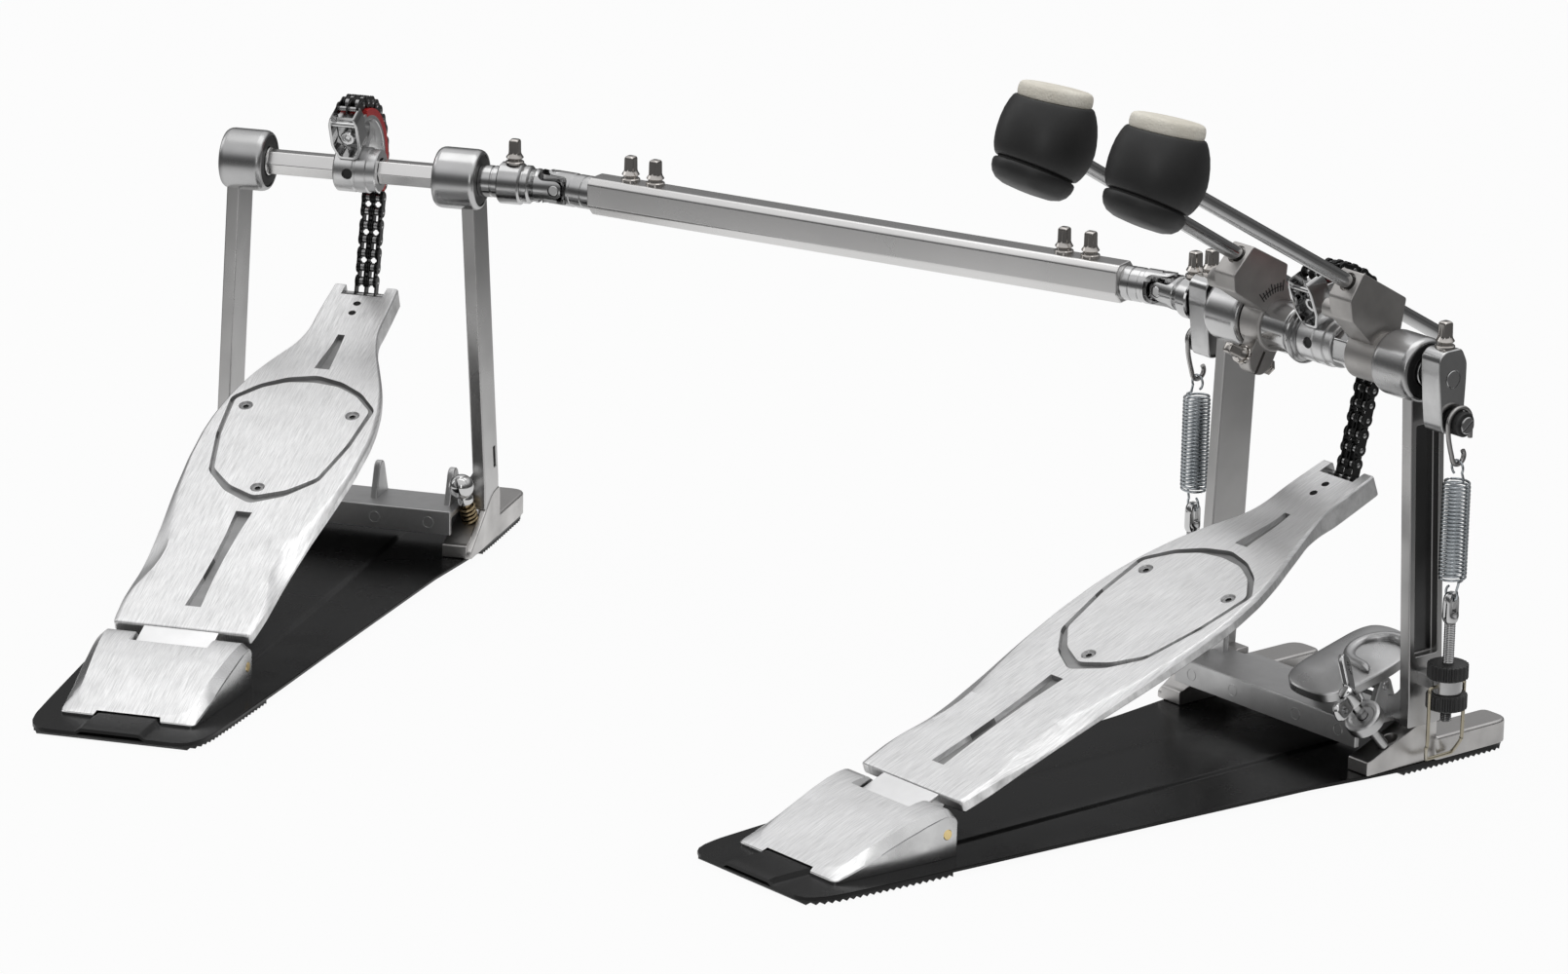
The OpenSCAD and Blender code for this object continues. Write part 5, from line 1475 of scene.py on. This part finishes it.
def post_cutter(spring_side):
    """A deep pocket between two flanges on the posts that carry the springs, a short slot on the others."""
    if not spring_side:
        return block((68, 8, 47), (90, 12.6, 59), 0.5)
    web = [(post_in(188) + 2.6, 188), (post_in(64) + 2.6, 64), (post_in(64) + 20, 64),
           (post_in(188) + 20, 188)]
    return slab_y(web, -4.4, 12.2, 1.0, 2)


def both_halves(shape):
    return shape + shape.put(mirror_x)


def pocket_shade_sheet_shape():
    """The smooth floor of the pocket in a post, a thin sheet just proud of the web, near black as painted
    shade and painted dark reflection in the pocket.
    """
    face = [(post_in(187) + 2.2, 187), (post_in(65) + 2.2, 65), (post_in(65) + 2.9, 65),
            (post_in(187) + 2.9, 187)]
    return slab_y(face, -3.9, 11.7, 0.1, 1)


def bracket_shape():
    arm = block((post_in(50) + 1, -1.9, 48.8), (96, 7.1, 56.2), 0.8)
    return arm + slab(pill(SPRING_X, SPRING_Y, 7.7, 48), 48.6, 56.4, 0.7)


def make_frames():
    for tag, place, _ in SIDES:
        spring_side = tag == "primary"
        body = tag + "_base"
        parts = (
            ("posts", post_shape(), "post satin", post_cutter(spring_side), tag + "_frame"),
            ("foot_walls", foot_wall_shape(), "foot casting", foot_dish() if spring_side else None, ()),
            ("foot_floors", foot_floor_shape(), "foot casting", foot_hole(spring_side), ()),
            ("foot_blocks", foot_block_shape(), "foot casting", None, ()),
            ("barrels", barrel_shape(), "barrel satin", None, ()),
            ("seals", seal_shape(), "seal black", None, ()),
        )
        for name, shape, look, cut, stands_for in parts:
            cut = both_halves(cut).put(place) if cut else None
            piece(f"{tag}_frame_{name}", both_halves(shape).put(place), look, body, stands_for, cut=cut,
                  edges=0.35 if cut else 0.0, fuse=False)
        seat = block((-62, 1, 18), (62, 16, 26), 1.4)
        shapes = {"crossbar": bar_shape(), "crossbar_ears": ear_shapes(), "hoop_seat": seat,
                  "crossbar_marks": marks_shape()}
        for name, shape in shapes.items():
            piece(f"{tag}_{name}", shape.put(place), "crossbar casting", body)
        pin = rod_x(-42.3, 42.3, 3, 0.5, 32).put(shift(0, *HEEL_PIN))
        piece(tag + "_hinge_pin", pin.put(place), "brass", body, tag + "_heel_pin")
    # painted shade and painted dark reflection on the floor of each post's pocket
    piece("primary_post_pocket_shade", both_halves(pocket_shade_sheet_shape()), "pocket painted shade", "primary_base")
    piece("tension_brackets", both_halves(bracket_shape()), "cast aluminium", "primary_base")


# Spur


def make_spur():
    thread = thread_shape(3.15, -17, 12, 1.2).put(at_spur, at_slave)
    piece("slave_spur_thread", thread, "brass steel", "slave_base", "slave_spur", sharp=80)
    t = np.linspace(0, 4.5, 4 * 24)
    coil = np.stack([4.2 * np.cos(2 * math.pi * t), 4.2 * np.sin(2 * math.pi * t), -7 + 2.6 * t], 1)
    piece("slave_spur_coil", tube(coil, 0.85, (0.02, 0.01, 1), 10).put(at_spur, at_slave), "brass steel",
          "slave_base", sharp=60)
    a = np.linspace(-math.pi / 2, math.pi / 2, 25)
    ball = np.stack([7.2 * np.cos(a), 17 + 7.2 * np.sin(a)], 1)
    ball[[0, -1], 0] = 0
    neck = [(0, 6.5), (4.4, 6.5), (4.8, 7.2), (4.8, 9.4), (4.2, 10.4), (3.8, 12), (0, 12)]
    shape = upright(ball, 48) + upright(neck, 40)
    piece("slave_spur_ball", shape.put(at_spur, at_slave), "chrome", "slave_base")


# Hoop clamp


JAW = [(24, -32), (34, -38), (62, -38), (66, -10), (66, 10), (60, 30), (40, 36), (24, 34), (19, 24),
       (19, -20)]
BOLT_AT = (76, -33.4, 34)


def at_jaw(p):
    return turn_x(p, math.radians(14)) + [0, CLAMP_Y, CLAMP_Z]


def at_bolt(p):
    return turn_x(p, math.radians(40)) + BOLT_AT


def jaw_shape():
    """The clamp's plate: rings of its rounded outline, first up the edge, then inwards over a low dome
    whose height above the edge is 2.6 (1 - s^2) for the share s of the way out."""
    p = ccw(fillet(JAW, [11, 11, 16, 16, 12, 16, 16, 10, 10, 12], 7))
    mid = np.array([43.0, -2.0])
    edge = [(0.7, 4.6), (0, 5.3), (0, 9.4), (0.35, 9.9), (1, 10.2)]
    rings = [np.c_[offset(p, -inset), np.full(len(p), z)] for inset, z in edge]
    base = offset(p, -1.0)
    for s in (0.93, 0.8, 0.6, 0.4, 0.2, 0.04):
        rings.append(np.c_[mid + (base - mid) * s, np.full(len(p), 10.2 + 2.6 * (1 - s * s))])
    return skin(np.stack(rings))


def ridge_shape():
    """The raised rail on the plate: a low rounded section carried round a bend that opens towards the
    post."""
    bend = np.vstack([[(64, 27), (58, 26.6)], arc2(51, 10, 15.5, 78, 262, 18), [(56, -6.4), (61.5, -8.4)]])
    path = np.c_[smooth_path(bend, 2), np.full(2 * (len(bend) - 1) + 1, 12.2)]
    t = np.gradient(path, axis=0)
    side = np.stack([-t[:, 1], t[:, 0], 0 * t[:, 0]], 1)
    side /= np.linalg.norm(side, axis=1)[:, None]
    a = around(24)[None, :, None]
    ends = np.sqrt(np.clip(1 - np.linspace(-1, 1, len(path)) ** 16, 0.01, 1))[:, None, None]
    up = np.array([0, 0, 1.0])
    return skin(path[:, None] + ends * (3.4 * side[:, None] * np.cos(a) + 2.9 * up * np.sin(a)))


def neck_shape():
    """The arm between the plate and the bolt's boss: rounded sections whose centre, height, width and lean
    run evenly from the plate to the boss along X."""
    t = np.linspace(0, 1, 9)[:, None]
    a = around(40)[None]
    side, up = np.cos(a), np.sin(a)
    side, up = np.sign(side) * np.abs(side) ** 0.7, np.sign(up) * np.abs(up) ** 0.7
    wide, high, lean = 8 - 0.6 * t, 2.5 + 0.5 * t, np.radians(14 + 26 * t)
    y = -30.5 - 3.7 * t + wide * side * np.cos(lean) - high * up * np.sin(lean)
    z = 45.4 - 10.3 * t**1.2 + wide * side * np.sin(lean) + high * up * np.cos(lean)
    return skin(np.stack([np.broadcast_to(57 + 15 * t, y.shape), y, z], -1))


def make_clamp():
    shape = jaw_shape().put(at_jaw)
    for x in (20.4, 54.6):
        lug = [(CLAMP_Y - 5.6, CLAMP_Z - 2), (CLAMP_Y - 7.4, CLAMP_Z + 7), (CLAMP_Y + 7.4, CLAMP_Z + 9),
               (CLAMP_Y + 5.6, CLAMP_Z - 2)]
        shape += slab_x(fillet(lug, [3, 1.2, 1.2, 3], 5), x, x + 5, 0.7)
    pin = rod_x(15.5, 64.5, 2.5, 0.4, 32).put(shift(0, CLAMP_Y, CLAMP_Z))
    cup = [(0, -1.8), (9.4, -1.8), (10.5, -0.8), (10.5, 3.4), (10.1, 4.6), (9.2, 5.1), (7.8, 5.2),
           (6.6, 4.7), (6.2, 4.2), (0, 4.2)]
    shape += upright(cup, 56).put(at_bolt)
    shape += neck_shape()
    hole = upright([(0, -30), (3.15, -30), (3.15, 30), (0, 30)], 32).put(at_bolt)
    piece("hoop_jaw", shape, "clamp casting", "clamp", "hoop_clamp", cut=hole, edges=0.4)
    piece("hoop_hinge_pin", pin, "bright steel", "clamp")
    piece("hoop_jaw_ridge", ridge_shape().put(at_jaw), "clamp casting", "clamp")
    grip = fillet([(22, 14), (56, 14), (56, 31), (40, 35), (26, 33)], 2.5, 5)
    pad = slab(grip, 2.6, 4.9, 0.5).put(at_jaw)
    piece("hoop_grip_pad", pad, "black rubber", "clamp", "hoop_pad")

    thread = thread_shape(3.0, -21, 16.5, 1.0)
    hub = [(0, 15.6), (4.4, 15.6), (5, 16.2), (5, 18), (4.5, 22), (4.1, 24.6), (3.6, 25.4), (2.6, 25.8),
           (0, 25.8)]
    wing = fillet([(2.5, 16.8), (8, 17.4), (19.4, 24.4), (21.6, 28.2), (19.6, 33.4), (15.4, 34.4),
                   (10.6, 30.4), (3, 24.6)], 3, 6)
    lug = slab_y(wing, -1.9, 1.9, 1.2, 4)
    eye = slab_y(fillet([(11.5, 22.6), (17.4, 26.6), (16.6, 30.6), (12.6, 29)], 2.2, 6), -4, 4, 0.01, 1)
    turn = lambda v: turn_z(v, math.radians(125))
    flip = lambda v: turn_z(v, math.pi)
    wings = upright(hub, 40) + lug + lug.put(flip)
    holes = eye + eye.put(flip)
    piece("wing_bolt_head", wings.put(turn, at_bolt), "chrome", "wing_bolt_body", "wing_bolt",
          cut=holes.put(turn, at_bolt), edges=0.4)
    piece("wing_bolt_thread", thread.put(at_bolt), "bright steel", "wing_bolt_body", sharp=80)


# Stage


LAMPS = (
    ("top softbox", (-0.5, 0.2, 2.4), (-0.3, -0.15, 0.1), (2.2, 1.6), 12.0),
    ("left softbox", (-2.4, -1.2, 1.3), (-0.3, -0.1, 0.15), (1.2, 1.6), 6.0),
    ("right strip", (1.5, -1.9, 0.9), (-0.1, -0.1, 0.15), (0.5, 1.4), 3.5),
)
FLOOR_HALF = 12.0
FLOOR_DROP = 0.0002
SKY = ((0.5, 0.05), (0.6, 0.07), (0.68, 0.2), (0.75, 0.7), (0.84, 1.0))
CAMERA_AT = (2.5826, -2.5388, 1.2288)
CAMERA_LOOK = (-0.7322, 0.6158, -0.2910)
CAMERA_ROLL = math.radians(1.09)
SENSOR, LENS = 36.0, 164.99


def seen_by(nt, camera, gloss):
    """A factor for what the camera sees, and with less weight what metal and glass show of it."""
    path, total = add(nt, "LightPath").outputs, 0.0
    for name, weight in (("Is Camera Ray", camera), ("Is Glossy Ray", gloss),
                         ("Is Transmission Ray", gloss)):
        total = math_node(nt, "MULTIPLY_ADD", path[name], weight, total)
    return total


def near_glow(nt):
    """1 for the camera; for reflections the pale floor fades out from 0.35 m to 1 m away from the pedals'
    middle."""
    place = add(nt, "Mapping",
                {"Vector": add(nt, "TexCoord").outputs["Object"], "Location": (0.29, 0.24, 0)})
    far = add(nt, "VectorMath", {0: place.outputs[0]}, operation="LENGTH").outputs["Value"]
    camera = add(nt, "LightPath").outputs["Is Camera Ray"]
    return math_node(nt, "MAXIMUM", camera, spread(nt, far, 1.0, 0.12, 0.35, 1.0))


def make_floor(tone):
    """A pale plane. It glows evenly for the camera, so that it is white apart from the pedals' shadow."""
    mesh = bpy.data.meshes.new("floor")
    s = FLOOR_HALF
    mesh.from_pydata([(-s, -s, 0), (s, -s, 0), (s, s, 0), (-s, s, 0)], [], [(0, 1, 2, 3)])
    floor = bpy.data.objects.new("floor", mesh)
    bpy.context.scene.collection.objects.link(floor)
    floor.location.z = -FLOOR_DROP
    m = bpy.data.materials.new("pale floor")
    m.use_nodes = True
    nt = m.node_tree
    bsdf = nt.nodes["Principled BSDF"]
    for key, value in (("Base Color", (tone, tone, tone, 1)), ("Roughness", 0.9),
                       ("Specular IOR Level", 0.1)):
        feed(nt, value, bsdf.inputs[key])
    glow = add(nt, "Emission", {"Color": (1, 1, 1, 1), "Strength": near_glow(nt)})
    mix = add(nt, "MixShader", {0: seen_by(nt, 0.95, 0.9), 1: bsdf.outputs[0], 2: glow.outputs[0]})
    feed(nt, mix.outputs[0], nt.nodes["Material Output"].inputs["Surface"])
    mesh.materials.append(m)


def make_world():
    """White for the camera. What the metal reflects is dark near the horizon and bright overhead, by SKY's
    steps."""
    world = bpy.data.worlds.new("studio")
    bpy.context.scene.world = world
    world.use_nodes = True
    nt = world.node_tree
    nt.nodes.clear()
    parts = add(nt, "SeparateXYZ", {0: add(nt, "TexCoord").outputs["Generated"]})
    ramp = add(nt, "ValToRGB", {"Fac": math_node(nt, "MULTIPLY_ADD", parts.outputs["Z"], 0.5, 0.5)})
    stops = ramp.color_ramp.elements
    stops[0].color, stops[1].color = (0.6, 0.6, 0.6, 1), (1, 1, 1, 1)
    for height, v in SKY:
        stops.new(height).color = (v, v, v * 1.01, 1)
    soft = add(nt, "Background", {"Color": ramp.outputs["Color"], "Strength": 0.92})
    white = add(nt, "Background", {"Color": (1, 1, 1, 1), "Strength": 1.0})
    mix = add(nt, "MixShader", {0: seen_by(nt, 1.0, 0.05), 1: soft.outputs[0], 2: white.outputs[0]})
    add(nt, "OutputWorld", {"Surface": mix.outputs[0]})


def make_lamps(level):
    """Three soft area lamps, each turned towards a point on the pedals."""
    for name, where, aim, size, power in LAMPS:
        lamp = bpy.data.lights.new(name, "AREA")
        lamp.shape, lamp.size, lamp.size_y, lamp.energy = "RECTANGLE", *size, power * level
        o = bpy.data.objects.new(name, lamp)
        bpy.context.scene.collection.objects.link(o)
        o.location = where
        o.rotation_mode = "QUATERNION"
        o.rotation_quaternion = (Vector(aim) - Vector(where)).to_track_quat("-Z", "Y")


def make_camera():
    """The camera where the photograph was taken from, rolled about its view."""
    cam = bpy.data.cameras.new("camera")
    cam.sensor_width, cam.lens = SENSOR, LENS
    cam.clip_start, cam.clip_end = 0.1, 60.0
    o = bpy.data.objects.new("camera", cam)
    bpy.context.scene.collection.objects.link(o)
    back = -Vector(CAMERA_LOOK).normalized()
    right = Vector((0, 0, 1)).cross(back).normalized()
    up = back.cross(right)
    c, s = math.cos(CAMERA_ROLL), math.sin(CAMERA_ROLL)
    axes = Matrix((right * c + up * s, up * c - right * s, back)).transposed()
    o.matrix_world = Matrix.Translation(CAMERA_AT) @ axes.to_4x4()
    bpy.context.scene.camera = o


def make_stage(light, floor_tone):
    """Pale floor, white surroundings, soft lamps and the camera at the photograph's angle."""
    bpy.context.scene.view_settings.view_transform = "Standard"
    make_floor(floor_tone)
    make_world()
    make_lamps(light)
    make_camera()


# Settings, operators and panel


class PedalSettings(bpy.types.PropertyGroup):
    lamp_level: bpy.props.FloatProperty(name="Lamp level", description="Strength of the soft lamps",
                                        default=1.0, min=0.0, max=4.0)
    floor_tone: bpy.props.FloatProperty(name="Floor tone", description="How pale the floor is",
                                        default=0.5, min=0.0, max=1.0, subtype="FACTOR")


class PEDAL_OT_finishes(bpy.types.Operator):
    """Make the finishes of all pieces"""

    bl_idname = "pedal.finishes"
    bl_label = "Finishes"

    def execute(self, context):
        make_finishes()
        return {"FINISHED"}


class PEDAL_OT_footboards(bpy.types.Operator):
    """Make both footboards with their shields, screws and hinge tongues"""

    bl_idname = "pedal.footboards"
    bl_label = "Footboards"

    def execute(self, context):
        make_footboards()
        return {"FINISHED"}


class PEDAL_OT_bases(bpy.types.Operator):
    """Make the heel castings, base plates and rubber pads"""

    bl_idname = "pedal.bases"
    bl_label = "Heels and bases"

    def execute(self, context):
        make_heels()
        make_base_plates()
        return {"FINISHED"}


class PEDAL_OT_shaft(bpy.types.Operator):
    """Make the drive tube, axles, collars and universal joints"""

    bl_idname = "pedal.shaft"
    bl_label = "Drive shaft and axles"

    def execute(self, context):
        make_tube()
        make_axles()
        return {"FINISHED"}


class PEDAL_OT_beaters(bpy.types.Operator):
    """Make the beaters with their rods, and the hubs that hold them"""

    bl_idname = "pedal.beaters"
    bl_label = "Beaters and hubs"

    def execute(self, context):
        make_beaters()
        make_hubs()
        return {"FINISHED"}


class PEDAL_OT_cams(bpy.types.Operator):
    """Make the cams with their linings and anchors, and the chains"""

    bl_idname = "pedal.cams"
    bl_label = "Cams and chains"

    def execute(self, context):
        make_cams()
        make_chains()
        return {"FINISHED"}


class PEDAL_OT_springs(bpy.types.Operator):
    """Make the rockers, springs, hooks, tension rods, nuts and wire bails"""

    bl_idname = "pedal.springs"
    bl_label = "Springs"

    def execute(self, context):
        make_rockers()
        make_springs()
        return {"FINISHED"}


class PEDAL_OT_frames(bpy.types.Operator):
    """Make both frames with their barrels and seals, the spur and the hoop clamp"""

    bl_idname = "pedal.frames"
    bl_label = "Frames and clamp"

    def execute(self, context):
        make_frames()
        make_spur()
        make_clamp()
        return {"FINISHED"}


class PEDAL_OT_stage(bpy.types.Operator):
    """Make the floor, lamps and camera"""

    bl_idname = "pedal.stage"
    bl_label = "Stage"

    def execute(self, context):
        s = context.scene.pedal_settings
        make_stage(s.lamp_level, s.floor_tone)
        return {"FINISHED"}


OPERATORS = (PEDAL_OT_finishes, PEDAL_OT_footboards, PEDAL_OT_bases, PEDAL_OT_shaft, PEDAL_OT_beaters,
             PEDAL_OT_cams, PEDAL_OT_springs, PEDAL_OT_frames, PEDAL_OT_stage)


class PEDAL_PT_panel(bpy.types.Panel):
    """Lists the steps of the build"""

    bl_idname = "PEDAL_PT_panel"
    bl_label = "Double pedal"
    bl_space_type = "VIEW_3D"
    bl_region_type = "UI"
    bl_category = "Pedal"

    def draw(self, context):
        s = context.scene.pedal_settings
        for name in s.bl_rna.properties.keys():
            if name not in ("rna_type", "name"):
                self.layout.prop(s, name)
        for op in OPERATORS:
            self.layout.operator(op.bl_idname)


CLASSES = (PedalSettings, *OPERATORS, PEDAL_PT_panel)


def register():
    for c in CLASSES:
        bpy.utils.register_class(c)
    bpy.types.Scene.pedal_settings = bpy.props.PointerProperty(type=PedalSettings)


def unregister():
    del bpy.types.Scene.pedal_settings
    for c in reversed(CLASSES):
        bpy.utils.unregister_class(c)


def main():
    register()
    for op in OPERATORS:
        group, name = op.bl_idname.split(".")
        getattr(getattr(bpy.ops, group), name)()


if __name__ == "__main__":
    main()
